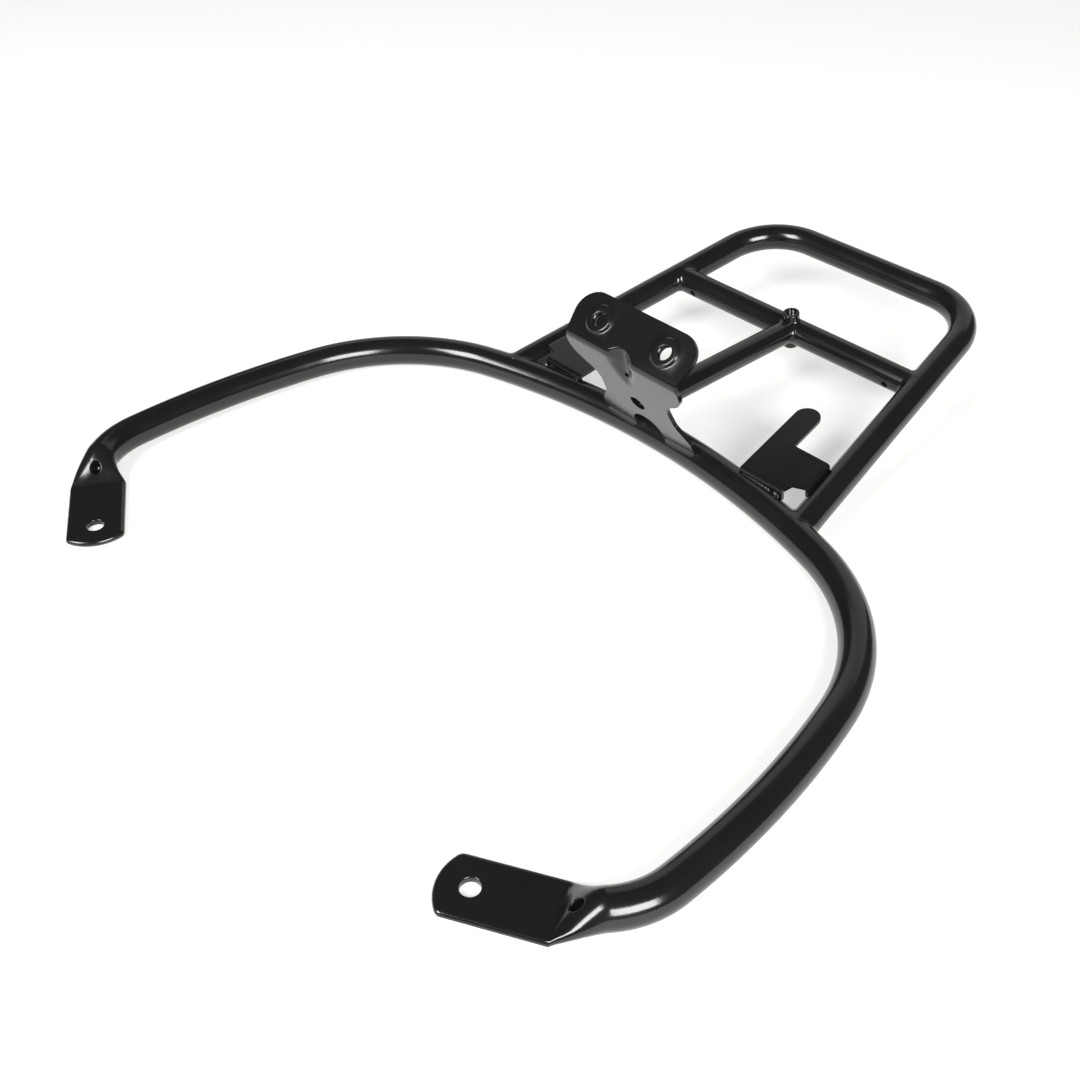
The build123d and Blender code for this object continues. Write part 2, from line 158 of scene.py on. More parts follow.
class BracketSizes(PropertyGroup):
    sheet: length("Sheet", 2.5, "Thickness of the bracket")
    bend_y: length("Bend place", -37.5, "Outside corner of the bend, from the hoop axis")
    bend_z: length("Bend height", 66.4, "Height of that corner over the hoop axis")
    bend_radius: length("Bend radius", 4.6, "Outside radius of the bend")
    flange_rise: angle("Flange rise", 43.5, "Slope of the flange")
    flange_length: length("Flange length", 28.6, "From the bend corner to the top edge")
    flange_half: length("Flange half width", 39.6, "Half width at the bend")
    flange_top: length("Flange top half width", 44.8, "Half width at the top, before its corners")
    flange_corner: length("Flange corner", 13.0, "Rounding of the top corners")
    hole: length("Bolt hole", 9.0, "Diameter of the bolt holes")
    hole_spacing: length("Hole spacing", 47.6, "Distance between the bolt holes")
    hole_up: length("Hole place", 14.8, "From the bend corner up to the bolt holes")
    pad: length("Pad", 14.0, "Diameter of the flat of the raised pads")
    pad_foot: length("Pad foot", 18.5, "Diameter of their foot")
    pad_rise: length("Pad rise", 1.2, "Height of the pads")
    collar: length("Collar", 12.2, "Outside diameter of the drawn collar behind each bolt hole")
    collar_depth: length("Collar depth", 3.0, "How far the collar reaches behind the sheet")
    web_lean: angle("Web lean", 26.5, "Lean of the web from the upright")
    web_length: length("Web length", 69.5, "From the bend corner to the foot edge inside the hoop")
    window: length("Window", 10.0, "Diameter of the round window in the web")
    window_down: length("Window place", 40.0, "From the bend corner down to the window")
    pip: length("Pip", 3.6, "Diameter of the small hole in the web")
    pip_down: length("Pip place", 14.5, "From the bend corner down to the small hole")
    arch_half: length("Arch half width", 10.5, "Half width of the cut-out between the feet")
    arch_top: length("Arch place", 52.5, "From the bend corner down to the top of the cut-out")
    dart_up: length("Dart up", 6.5, "How far the pressed dart reaches up the flange")
    dart_down: length("Dart down", 23.0, "How far the pressed dart reaches down the web")
    dart_half: length("Dart half width", 9.5, "Half width of the dart at the bend")


class PlateSizes(PropertyGroup):
    sheet: length("Sheet", 2.0, "Thickness of the case plates")
    lift: length("Lift", 12.5, "Top of the plates over the hoop axis")
    front: length("Front", -4.0, "Front face of the plates, from the hoop axis")
    depth: length("Depth", 28.0, "Rear edge of the plates")
    outer: length("Outer end", 91.0, "Outer end of the front lip")
    leg_gap: length("Leg gap", 6.6, "From the leg axis to the side lip")
    relief_x: length("Relief across", 92.7, "Inner corner of the relief notch, from the middle")
    relief_y: length("Relief along", 3.5, "Inner corner of the relief notch, along the plate")
    relief_step: length("Relief step", 2.5, "Rise of the notch edge towards the side lip")
    finger: length("Finger", 15.0, "Width of the finger")
    finger_x: length("Finger across", 64.9, "Middle of the finger tip, from the middle")
    finger_reach: length("Finger reach", 50.5, "Middle of the finger tip, along the plate")
    finger_turn: angle("Finger turn", 5.2, "Lean of the finger towards the middle")
    fold: length("Fold radius", 1.9, "Outside radius of the folds")
    front_lip: length("Front lip", 7.0, "Depth of the front lip")
    side_lip: length("Side lip", 6.5, "Depth of the side lip")


class WeldSizes(PropertyGroup):
    bead: length("Bead", 2.2, "Leg of the weld beads between tubes")
    tack: length("Tack", 1.9, "Leg of the weld beads on the sheets")
    ripple: length("Ripple", 2.1, "Length of one ripple of a bead")
    clearance: length("Clearance", 0.4, "Beads stay this far off the floor")


class CoatLook(PropertyGroup):
    colour: FloatVectorProperty(
        name="Coat", description="Colour of the powder coat", default=(0.0045, 0.0043, 0.0041),
        size=3, min=0, max=1, subtype="COLOR",
    )
    gloss_low: share("Smoothest", 0.14, "Roughness of the smoothest patches")
    gloss_high: share("Roughest", 0.20, "Roughness of the dullest patches")
    peel: share("Orange peel", 0.05, "Strength of the orange peel")
    peel_size: length("Peel size", 1.6, "Size of the orange peel")
    grain_size: length("Grain size", 0.35, "Size of the powder grain")


class StageLook(PropertyGroup):
    floor: FloatVectorProperty(
        name="Floor", description="Colour of the floor", default=(0.50, 0.497, 0.487), size=3, min=0, max=1,
        subtype="COLOR",
    )
    floor_glow: share("Floor glow", 0.95, "Light that the lit sweep under the object gives back by itself")
    softbox_glow: radiance("Softbox glow", 22, "Radiance of the two softboxes")
    wall_glow: radiance("Wall glow", 0.6, "Radiance of the wall behind")
    lens: length("Lens", 41.78, "Focal length on a 36 mm sensor")
    camera_place: FloatVectorProperty(
        name="Camera", description="Place of the camera", default=(0.39244, -0.40522, 0.42904), size=3,
        subtype="TRANSLATION", unit="LENGTH",
    )
    camera_turn: FloatVectorProperty(
        name="Camera turn", description="Turn of the camera", default=(0.872112, 0.009414, 0.824917), size=3,
        subtype="EULER", unit="ROTATION",
    )


GROUPS = {
    "hoop_sizes": HoopSizes,
    "rack_sizes": RackSizes,
    "bracket_sizes": BracketSizes,
    "plate_sizes": PlateSizes,
    "weld_sizes": WeldSizes,
    "coat_look": CoatLook,
    "stage_look": StageLook,
}


def in_mm(group):
    """The lengths of a group in millimetres and its angles in radians, as plain numbers."""
    plain = SimpleNamespace()
    for p in group.bl_rna.properties:
        if p.type == "FLOAT" and not p.is_array:
            scale = 1 / MM if p.unit == "LENGTH" else 1
            setattr(plain, p.identifier, getattr(group, p.identifier) * scale)
    return plain


def sizes():
    """Every size of the rack, and the places that follow from the frame."""
    scene = bpy.context.scene
    hoop, rack = in_mm(scene.hoop_sizes), in_mm(scene.rack_sizes)
    bracket, plate = in_mm(scene.bracket_sizes), in_mm(scene.plate_sizes)
    low, high = (np.array(corner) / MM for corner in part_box("grab_hoop"))
    hoop.r = hoop.tube / 2
    hoop.origin = np.array([0, high[1] - hoop.r, low[2] + hoop.r])
    rack.r, rack.cross_r, rack.strut_r = rack.tube / 2, rack.cross_tube / 2, rack.strut_tube / 2
    thread = next(m for m in frame["record"]["mounts"] if m["kind"] == "threaded_hole")
    rack.up = np.array(thread["axis"], float)
    rack.along = np.cross(rack.up, ACROSS)
    rack.slope = rack.along[2] / rack.along[1]
    rack.root_y = math.sqrt(hoop.rear_radius**2 - rack.root_x**2) - hoop.rear_radius
    rack.root = hoop.origin + (0, rack.root_y, rack.root_rise)
    rack.run = (rack.reach - rack.root_y) / rack.along[1]
    rack.drop = rack.root_x - leg_x(rack, rack.reach)
    rack.toe_run = math.atan2(rack.drop, rack.run)
    rack.cross = hoop.origin + (0, rack.cross_reach, rack_z(rack, rack.cross_reach) - rack.cross_drop)
    return SimpleNamespace(hoop=hoop, rack=rack, bracket=bracket, plate=plate, weld=in_mm(scene.weld_sizes))


def rack_z(rack, y):
    """Height of the rack plane over the hoop axis: a straight rise from the leg root."""
    return rack.root_rise + rack.slope * (y - rack.root_y)


def leg_x(rack, y):
    """Half distance between the leg axes: the root less the toe-in over the distance gone."""
    return rack.root_x - math.tan(rack.toe) * (y - rack.root_y)


# ---------------------------------------------------------------- shapes

def unit(v):
    """Each vector over its own length."""
    return v / np.linalg.norm(v, axis=-1, keepdims=True)


def between(index):
    """Quads (rows, columns, 4) between the neighbours in a grid of point numbers."""
    return np.stack([index[:-1, :-1], index[:-1, 1:], index[1:, 1:], index[1:, :-1]], -1)


def cells(rows, columns, closed=False):
    """Quads of a grid of points that are numbered row by row, each row going round again where closed."""
    index = np.arange(rows * columns).reshape(rows, columns)
    if closed:
        index = np.concatenate([index, index[:, :1]], 1)
    return between(index).reshape(-1, 4)


def band(outer, inner):
    """Quads between two closed loops of the same count."""
    return np.stack([outer, np.roll(outer, -1), np.roll(inner, -1), inner], -1)


def joined(parts):
    """Several (points, quads) as one."""
    points, quads, count = [], [], 0
    for some_points, some_quads in parts:
        points.append(some_points.reshape(-1, 3))
        quads.append(some_quads + count)
        count += len(points[-1])
    return np.concatenate(points), np.concatenate(quads)


def grids(*patches):
    """Open grids of points (rows, columns, 3) as one surface."""
    return joined([(p, cells(*p.shape[:2])) for p in patches])


def mirrored(points, quads):
    """The same surface on the other side of the middle plane, still facing outwards."""
    return points * (-1, 1, 1), quads[:, ::-1]


def skin(rings):
    """Rings of points (rows, ring, 3) as one surface, closed round each ring."""
    return rings.reshape(-1, 3), cells(*rings.shape[:2], closed=True)


def capped(rings):
    """A closed skin over rings of points (rows, ring, 3), with a middle point added at each end."""
    first, last = (np.broadcast_to(ring.mean(0), (1, *ring.shape)) for ring in (rings[0], rings[-1]))
    return skin(np.concatenate([first, rings, last]))


def circle(count=RING):
    """Cosine and sine at even steps of a full turn."""
    turn = 2 * np.pi * np.arange(count) / count
    return np.cos(turn), np.sin(turn)


def round_ring(centres, side, up, radius, count=RING):
    """A circle of the given radius about each centre: centre + radius (cos side + sin up)."""
    c, s = circle(count)
    ring = c[:, None] * side[..., None, :] + s[:, None] * up[..., None, :]
    return centres[..., None, :] + radius * ring


def bent_run(pieces, s):
    """Place and heading at lengths s of a run from (0, 0) heading along X, turning clockwise.
    On a piece of curvature k the heading turns by k times the length gone, and the place is the
    start plus the difference of its sine and cosine over k."""
    x, y, heading = np.zeros_like(s), np.zeros_like(s), np.zeros_like(s)
    x0 = y0 = a0 = s0 = 0.0
    for long, curve in pieces:
        def place(gone):
            a = a0 + gone * curve
            if curve:
                return x0 + (np.sin(a) - math.sin(a0)) / curve, y0 + (np.cos(a) - math.cos(a0)) / curve, a
            return x0 + gone * math.cos(a0), y0 - gone * math.sin(a0), a + 0 * gone
        here = s >= s0
        x, y, heading = (np.where(here, new, old) for new, old in zip(place(s - s0), (x, y, heading)))
        x0, y0, a0 = (float(value) for value in place(long))
        s0 += long
    return x, y, heading


def halving(starts, way, distance, target, reach):
    """How far along way each start goes before distance falls to target, at most reach, by halving."""
    near, far = np.zeros(len(starts)), np.full(len(starts), float(reach))
    for _ in range(40):
        middle = (near + far) / 2
        inside = distance(starts + middle[:, None] * way) < target
        far = np.where(inside, middle, far)
        near = np.where(inside, near, middle)
    return far


def from_line(place, way):
    """Distance of points from the straight line through place along way."""
    def distance(points):
        return np.linalg.norm(np.cross(points - place, way), axis=-1)
    return distance


def from_arc(origin, radius):
    """Distance of points from a level circle that passes through origin, its centre in front of that."""
    def distance(points):
        local = points - origin
        return np.hypot(np.hypot(local[:, 0], local[:, 1] + radius) - radius, local[:, 2])
    return distance


def flat_pattern(across, along, holes=()):
    """Points and quads of a flat pattern on a grid of lines. Each hole (across, along, circles) takes out a
    block of cells that its widest circle fits in and fills it with its circles, the smallest being its edge.
    Returns the points, the quads and the edge loop of each hole."""
    rows, columns = across.shape
    points = [np.stack([across, along], -1).reshape(-1, 2)]
    index = np.arange(rows * columns).reshape(rows, columns)
    kept = np.ones((rows - 1, columns - 1), bool)
    quads, edges, count = [], [], rows * columns
    for x, y, circles in holes:
        reach = 1.04 * circles[-1]
        i0, j0 = np.unravel_index(np.argmin(np.hypot(across - x, along - y)), across.shape)
        i1, j1 = i0, j0
        grew = True
        while grew:
            grew = False
            if not (along[i0, j0:j1 + 1] < y - reach).all():
                i0, grew = i0 - 1, True
            if not (along[i1, j0:j1 + 1] > y + reach).all():
                i1, grew = i1 + 1, True
            if not (across[i0:i1 + 1, j0] < x - reach).all():
                j0, grew = j0 - 1, True
            if not (across[i0:i1 + 1, j1] > x + reach).all():
                j1, grew = j1 + 1, True
        kept[i0:i1, j0:j1] = False
        border = np.concatenate([
            index[i0, j0:j1],
            index[i0:i1, j1],
            index[i1, j0 + 1:j1 + 1][::-1],
            index[i0 + 1:i1 + 1, j0][::-1],
        ])
        out = unit(points[0][border] - (x, y))
        loops = [border]
        for radius in circles[::-1]:
            points.append((x, y) + radius * out)
            loops.append(count + np.arange(len(border)))
            count += len(border)
        quads += [band(outer, inner) for outer, inner in zip(loops, loops[1:])]
        edges.append(loops[-1])
    return np.concatenate(points), np.concatenate([between(index)[kept], *quads]), edges


def drilled(points, quads, edge, axis, depth, rim):
    """A blind hole from an edge loop down along axis: a rounded rim, a straight wall and a floor."""
    loop = points[edge]
    inward = unit(loop.mean(0) - loop)
    turn = np.linspace(0, math.pi / 2, 5)[1:]
    rings = [loop + rim * ((1 - math.cos(a)) * axis + math.sin(a) * inward) for a in turn]
    rings.append(rings[-1] + (depth - rim) * axis)
    rings.append(np.broadcast_to(rings[-1].mean(0), loop.shape))
    added = len(points) + np.arange(len(rings) * len(edge)).reshape(len(rings), -1)
    index = np.concatenate([edge[None], added])
    wall = [band(outer, inner) for outer, inner in zip(index, index[1:])]
    return np.concatenate([points, *rings]), np.concatenate([quads, *wall])


def away_from(distance, points):
    """The way in which a distance grows at each point: its slope over a thousandth of a millimetre."""
    steps = 0.001 * np.eye(3)
    return unit(np.stack([distance(points + step) - distance(points - step) for step in steps], -1))


def bead(curve, first, second, into_first, into_second, leg, ripple, closed=True):
    """Weld bead along a corner curve: a hollow fillet from A, one leg up the first surface, to B, one leg
    along the second, by (1-t)^2 A + 2t(1-t) D + t^2 B with D a little out of the corner, and closed
    inside both parts. The leg is longer and shorter in turn, once for each ripple along the curve."""
    ripple_share, sink, fill = 0.016, 0.08, 0.16
    gone = np.concatenate([[0], np.cumsum(np.linalg.norm(np.diff(curve, axis=0), axis=1))])
    ripples = max(round(gone[-1] / ripple), 1)
    wave = 1 + ripple_share * np.sin(2 * np.pi * gone / (gone[-1] / ripples))
    leg = (leg * wave)[:, None]
    start, end = curve + leg * first, curve + leg * second + sink * leg * into_second
    pull = curve + fill * (start + end - 2 * curve)
    t = np.linspace(0, 1, 11)[:, None, None]
    face = (1 - t) ** 2 * start + 2 * t * (1 - t) * pull + t**2 * end
    deep = np.minimum(0.5, 0.5 * leg)
    corner = curve + deep * (into_first + into_second)
    back = np.stack([end + deep * into_second, corner, start + deep * into_first])
    rings = np.concatenate([face, back]).swapaxes(0, 1)
    return skin(np.concatenate([rings, rings[:1]])) if closed else capped(rings)


# ---------------------------------------------------------------- finish

def powder_coat(name):
    """Black powder coat: orange peel and powder grain, each a bump from a noise, and large patches that
    differ a little in gloss and depth of colour."""
    look = bpy.context.scene.coat_look
    patch_size, peel_depth, grain_depth = 0.03, 0.0002, 0.00003
    pale_gain = 1.5
    coat = bpy.data.materials.new(name)
    coat.use_nodes = True
    nodes, links = coat.node_tree.nodes, coat.node_tree.links
    shader = nodes["Principled BSDF"]
    shader.inputs["Metallic"].default_value = 0.0
    shader.inputs["IOR"].default_value = 1.5
    place = nodes.new("ShaderNodeTexCoord")

    def noise(label, size, detail):
        made = nodes.new("ShaderNodeTexNoise")
        made.label = label
        made.inputs["Scale"].default_value = 1 / size
        made.inputs["Detail"].default_value = detail
        links.new(place.outputs["Object"], made.inputs["Vector"])
        return made

    patches = noise("Gloss patches", patch_size, 3)
    gloss = nodes.new("ShaderNodeMapRange")
    gloss.inputs["From Min"].default_value = 0.3
    gloss.inputs["From Max"].default_value = 0.7
    gloss.inputs["To Min"].default_value = look.gloss_low
    gloss.inputs["To Max"].default_value = look.gloss_high
    links.new(patches.outputs["Fac"], gloss.inputs["Value"])
    links.new(gloss.outputs["Result"], shader.inputs["Roughness"])

    tint = nodes.new("ShaderNodeMix")
    tint.data_type = "RGBA"
    tint.label = "Coat thickness"
    tint.inputs["A"].default_value = (*look.colour, 1)
    tint.inputs["B"].default_value = (*(pale_gain * c for c in look.colour), 1)
    links.new(patches.outputs["Fac"], tint.inputs["Factor"])
    links.new(tint.outputs["Result"], shader.inputs["Base Color"])

    def bump(label, size, depth):
        made = nodes.new("ShaderNodeBump")
        made.label = label
        made.inputs["Strength"].default_value = look.peel
        made.inputs["Distance"].default_value = depth
        links.new(noise(label, size, 1).outputs["Fac"], made.inputs["Height"])
        return made

    peel = bump("Orange peel", look.peel_size, peel_depth)
    grain = bump("Powder grain", look.grain_size, grain_depth)
    links.new(peel.outputs["Normal"], grain.inputs["Normal"])
    links.new(grain.outputs["Normal"], shader.inputs["Normal"])
    return coat


def coat_for(slot):
    """The coat of a material slot, made once, under a name of its own."""
    name = f"black {slot}"
    return bpy.data.materials.get(name) or powder_coat(name)


def make_piece(name, surface, slot, nodes, facing=None, sheet=None, edge=0.4):
    """A piece from points in millimetres and quads: doubles merged, loose points dropped and, on a closed
    skin, faces turned outwards. An open sheet faces along facing, gets its thickness behind that face
    and a small round on its edges. The piece stands for the CAD nodes."""
    points, quads = surface
    mesh = bpy.data.meshes.new(name)
    mesh.from_pydata((points * MM).tolist(), [], quads.tolist())
    shell = bmesh.new()
    shell.from_mesh(mesh)
    bmesh.ops.delete(shell, geom=[v for v in shell.verts if not v.link_faces], context="VERTS")
    bmesh.ops.remove_doubles(shell, verts=shell.verts, dist=MERGE * MM)
    bmesh.ops.dissolve_degenerate(shell, edges=shell.edges, dist=SPECK * MM)
    bmesh.ops.recalc_face_normals(shell, faces=shell.faces)
    if facing is not None:
        total = sum((f.normal * f.calc_area() for f in shell.faces), Vector())
        if total.dot(Vector(facing)) < 0:
            bmesh.ops.reverse_faces(shell, faces=shell.faces)
    shell.to_mesh(mesh)
    shell.free()
    mesh.polygons.foreach_set("use_smooth", np.ones(len(mesh.polygons), bool))
    piece = bpy.data.objects.new(name, mesh)
    bpy.context.scene.collection.objects.link(piece)
    if sheet is not None:
        thick = piece.modifiers.new("Sheet", "SOLIDIFY")
        thick.thickness = sheet * MM
        thick.offset = -1
        thick.use_even_offset = True
        soft = piece.modifiers.new("Edges", "BEVEL")
        soft.width = edge * MM
        soft.segments = 3
        soft.limit_method = "ANGLE"
        soft.angle_limit = math.radians(50)
        soft.harden_normals = True
    mesh.materials.append(coat_for(slot))
    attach(piece, "root")
    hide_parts(*nodes)
    return piece


# ---------------------------------------------------------------- grab hoop

def end_section(hoop, gone, column):
    """Section of the tube on its way from the crease to the round: gone is the distance from the crease,
    column counts ring points from the middle of the top. A circle and a flat slot are mixed by the press,
    the 1.5th power of what is left of the flattening. Returns across and up, from the section's middle."""
    press = np.clip(1 - gone / hoop.flatten, 0, 1) ** 1.5
    turn = 2 * np.pi * column / RING
    flat_half = TOP_CELLS / 2
    edge_half = hoop.end_width / 2 - hoop.wall
    wrapped = (column + RING / 2) % RING - RING / 2
    side, off = np.sign(wrapped), np.abs(wrapped)
    beyond = np.clip((off - flat_half) / SIDE_CELLS, 0, 1)
    under = off > flat_half + SIDE_CELLS
    flat_x = np.where(under, (RING / 2 - off) / flat_half, np.minimum(off / flat_half, 1))
    slot_x = side * (edge_half * flat_x + np.where(under, 0, hoop.wall * np.sin(np.pi * beyond)))
    slot_z = hoop.wall * np.cos(np.pi * beyond)
    across = (1 - press) * hoop.r * np.sin(turn) + press * slot_x
    up = (1 - press) * hoop.r * np.cos(turn) + press * slot_z
    middle = (1 - press) * hoop.r + press * hoop.wall - hoop.r
    return across, up + middle


def hoop_pieces(hoop):
    """Bends of half a hoop, from the middle of the rear run: (length, curvature) of each."""
    bends = [
        (hoop.rear_radius, hoop.rear_turn),
        (hoop.shoulder_radius, hoop.shoulder_turn),
        (hoop.side_radius, hoop.side_turn),
        (hoop.front_radius, hoop.front_turn),
    ]
    return [(radius * turn, 1 / radius) for radius, turn in bends] + [(hoop.end_straight, 0)]


def hoop_tube(hoop):
    """Right half of the hoop from the middle to the crease: each section across the run at its length,
    with the drain hole ringed on the slope of the pressing."""
    pieces = hoop_pieces(hoop)
    crease = sum(long for long, _ in pieces) - hoop.end_crease
    drain = crease - (hoop.drain_back - hoop.end_crease)
    round_end = crease - hoop.flatten - 2
    rows = np.concatenate([np.linspace(0, round_end, 170), np.linspace(round_end, crease, 29)[1:]])
    columns = np.arange(RING + 1) - RING / 2
    press = (1 - (hoop.drain_back - hoop.end_crease) / hoop.flatten) ** 1.5
    flat_cell = (hoop.end_width / 2 - hoop.wall) / (TOP_CELLS / 2)
    cell = (1 - press) * hoop.r * 2 * np.pi / RING + press * flat_cell
    across, along = np.meshgrid(columns * cell, rows)
    hole_r, rim = hoop.drain_hole / 2, PRESSED_RIM * hoop.rim
    circles = np.array([hole_r + rim, hole_r + 0.9, hole_r + 1.4])
    flat, quads, edges = flat_pattern(across, along, [(0, drain, circles)])

    def place(flat):
        x, y, heading = bent_run(pieces, flat[:, 1])
        side, up = end_section(hoop, crease - flat[:, 1], flat[:, 0] / cell)
        outward = np.stack([np.sin(heading), np.cos(heading), 0 * heading], -1)
        return hoop.origin + np.stack([x, y, up], -1) + side[:, None] * outward

    points = place(flat)
    corners = place(np.array([[0, drain - 1], [0, drain + 1], [1, drain], [-1, drain]]))
    axis = unit(np.cross(corners[1] - corners[0], corners[2] - corners[3]))
    axis = -axis * np.sign(axis[2])
    return drilled(points, quads, edges[0], axis, hoop.r, rim)


def end_outline(hoop):
    """Edge of a pressed end from the crease round the tip and back, inset by the wall: places and outward
    normals, along the heading and to its left. Straight sides, round corners, tip arc."""
    half, corner = hoop.end_width / 2, hoop.end_corner
    centre = hoop.end_tip - hoop.end_tip_radius
    lean = math.asin((half - corner) / (hoop.end_tip_radius - corner))
    corner_x = centre + (hoop.end_tip_radius - corner) * math.cos(lean)
    side = np.linspace(-hoop.end_crease, corner_x, 17)[:-1]
    turn = np.concatenate([np.linspace(math.pi / 2, lean, 8)[:-1], np.linspace(lean, 0, 11)])
    on_corner = np.arange(len(turn)) < 7
    radius = np.where(on_corner, corner, hoop.end_tip_radius)
    middle_x = np.where(on_corner, corner_x, centre)
    middle_y = np.where(on_corner, half - corner, 0)
    left = np.concatenate([
        np.stack([side, np.full_like(side, half)], -1),
        np.stack([middle_x + radius * np.cos(turn), middle_y + radius * np.sin(turn)], -1),
    ])
    normal = np.concatenate([
        np.stack([0 * side, 0 * side + 1], -1),
        np.stack([np.cos(turn), np.sin(turn)], -1),
    ])
    places, normals = (np.concatenate([line, line[-2::-1] * (1, -1)]) for line in (left, normal))
    return places - hoop.wall * normals, normals


def hoop_end(hoop):
    """Pressed end: rays from the fixing hole to the outline and to the crease, and along each ray the top,
    the rim, the wall of the hole, the underside and the half-round edge."""
    inset, normal = end_outline(hoop)
    half = hoop.end_width / 2 - hoop.wall
    crease_y = np.linspace(-half, half, TOP_CELLS + 1)[1:-1]
    crease = np.stack([np.full_like(crease_y, -hoop.end_crease), crease_y], -1)
    rim, thick, hole_r = hoop.rim, 2 * hoop.wall, hoop.end_hole / 2
    outer = np.concatenate([inset, crease])
    out = unit(outer)
    turn = np.linspace(0, math.pi / 2, 6)[1:]
    steps = (1.0, 0.985, 0.9, 0.7, 0.45, 0.2, 0.05, 0.0)
    lip = out * (hole_r + rim)
    top = [(lip + step * (outer - lip), thick) for step in steps]
    down = [(out * (hole_r + rim * (1 - math.sin(a))), thick - rim * (1 - math.cos(a))) for a in turn]
    under = [(flat, thick - z) for flat, z in (top + down)[::-1]]
    rounds = [
        (np.concatenate([inset + hoop.wall * math.sin(a) * normal, crease]), hoop.wall * (1 + math.cos(a)))
        for a in np.linspace(math.pi, 0, SIDE_CELLS + 1)[1:-1]
    ]
    lines = top + down + under + rounds
    rings = np.array([np.concatenate([flat, np.full((len(outer), 1), float(z))], 1) for flat, z in lines])
    count, rays = rings.shape[:2]
    face = count - len(rounds)
    body = cells(face, rays, closed=True)
    edge = np.concatenate([np.arange(face - 1, count), [0]])
    index = np.arange(count * rays).reshape(count, rays)[edge][:, :len(inset)]
    edge_quads = between(index).reshape(-1, 4)
    pieces = hoop_pieces(hoop)
    whole = np.array([sum(long for long, _ in pieces)])
    x, y, heading = (float(value[0]) for value in bent_run(pieces, whole))
    ahead = np.array([math.cos(heading), -math.sin(heading), 0])
    left = np.array([math.sin(heading), math.cos(heading), 0])
    place = hoop.origin + (x, y, -hoop.r)
    points = place + rings[..., :1] * ahead + rings[..., 1:2] * left + rings[..., 2:] * UP
    return points.reshape(-1, 3), np.concatenate([body, edge_quads])


class LUGGAGE_RACK_OT_grab_hoop(Operator):
    """Add the grab hoop with its pressed ends"""

    bl_idname = "luggage_rack.grab_hoop"
    bl_label = "Grab hoop"

    def execute(self, context):
        hoop = sizes().hoop
        half = joined([hoop_tube(hoop), hoop_end(hoop)])
        make_piece("hoop", joined([half, mirrored(*half)]), "tube_coat", ["grab_hoop"])
        return {"FINISHED"}


# ---------------------------------------------------------------- rack tubes

def leg_line(rack):
    """A place on the right leg axis and the way along it, rearwards."""
    way = rack.along * math.cos(rack.toe_run) - ACROSS * math.sin(rack.toe_run)
    return rack.root + ACROSS * rack.root_x, way


def leg_end(size):
    """End of the right leg at the hoop: a ring of the tube a little before the hoop, the way on from there,
    and the distance from the hoop's axis."""
    rack, hoop = size.rack, size.hoop
    root, rearwards = leg_line(rack)
    way = -rearwards
    ring = round_ring(root - LEG_END * way, np.cross(rack.up, way), rack.up, rack.r)
    return ring, way, from_arc(hoop.origin, hoop.rear_radius)


def rack_tube(size):
    """Right half of the rack loop: half the rear run, the corner, the leg, and its saddle on the hoop."""
    rack = size.rack
    ring, way, distance = leg_end(size)
    turn = math.pi / 2 - rack.toe_run
    cut = rack.corner * math.tan(turn / 2)
    rear, bend, leg = leg_x(rack, rack.reach) - cut, rack.corner * turn, math.hypot(rack.drop, rack.run) - cut
    s = np.concatenate([
        np.linspace(0, rear, 18)[:-1],
        np.linspace(rear, rear + bend, 36)[:-1],
        np.linspace(rear + bend, rear + bend + leg - LEG_END, 40),
    ])
    x, y, heading = bent_run([(rear, 0), (bend, 1 / rack.corner), (leg, 0)], s)
    centres = rack.root + x[:, None] * ACROSS + (rack.run + y)[:, None] * rack.along
    tangent = np.cos(heading)[:, None] * ACROSS - np.sin(heading)[:, None] * rack.along
    rings = round_ring(centres, np.cross(rack.up, tangent), np.broadcast_to(rack.up, centres.shape), rack.r)
    gone = halving(ring, way, distance, size.hoop.r - INTO, LEG_END)
    last = ring + np.linspace(0, 1, 12)[1:, None, None] * gone[:, None] * way
    return skin(np.concatenate([rings, last, np.broadcast_to(last[-1].mean(0), (1, *ring.shape))]))


def crossbar(size):
    """Half a crossbar from the middle to its saddle on the leg: circle times length, with a vent hole in it
    that faces forwards and a little down."""
    rack = size.rack
    half = leg_x(rack, rack.cross_reach)
    vent_turn, vent_depth, vent_rim = math.atan2(-0.35, -1), 5.0, 0.3

    def outwards(turn):
        return np.cos(turn)[:, None] * REARWARDS + np.sin(turn)[:, None] * UP

    turn = vent_turn + np.linspace(-np.pi, np.pi, RING + 1)
    ring = rack.cross + rack.cross_r * outwards(turn)
    gone = halving(ring, ACROSS, from_line(*leg_line(rack)), rack.r - INTO, half)
    along = np.linspace(0, 1, 90)[:, None] * gone
    across = np.broadcast_to(turn * rack.cross_r, along.shape)
    circles = rack.vent / 2 + np.array([vent_rim, 0.7, 1.1])
    vent = (vent_turn * rack.cross_r, half - rack.vent_inset, circles)
    flat, quads, edges = flat_pattern(across, along, [vent])
    points = rack.cross + flat[:, 1:] * ACROSS + rack.cross_r * outwards(flat[:, 0] / rack.cross_r)
    axis = -outwards(np.array([vent_turn]))[0]
    bar = drilled(points, quads, edges[0], axis, vent_depth, vent_rim)
    tip = ring + gone[:, None] * ACROSS
    return joined([bar, grids(np.stack([tip, np.broadcast_to(tip.mean(0), tip.shape)]))])


def web_ways(bracket):
    """The way up the web of the bracket, and the way out of its outer face."""
    lean = bracket.web_lean
    return np.array([0, -math.sin(lean), math.cos(lean)]), np.array([0, -math.cos(lean), -math.sin(lean)])


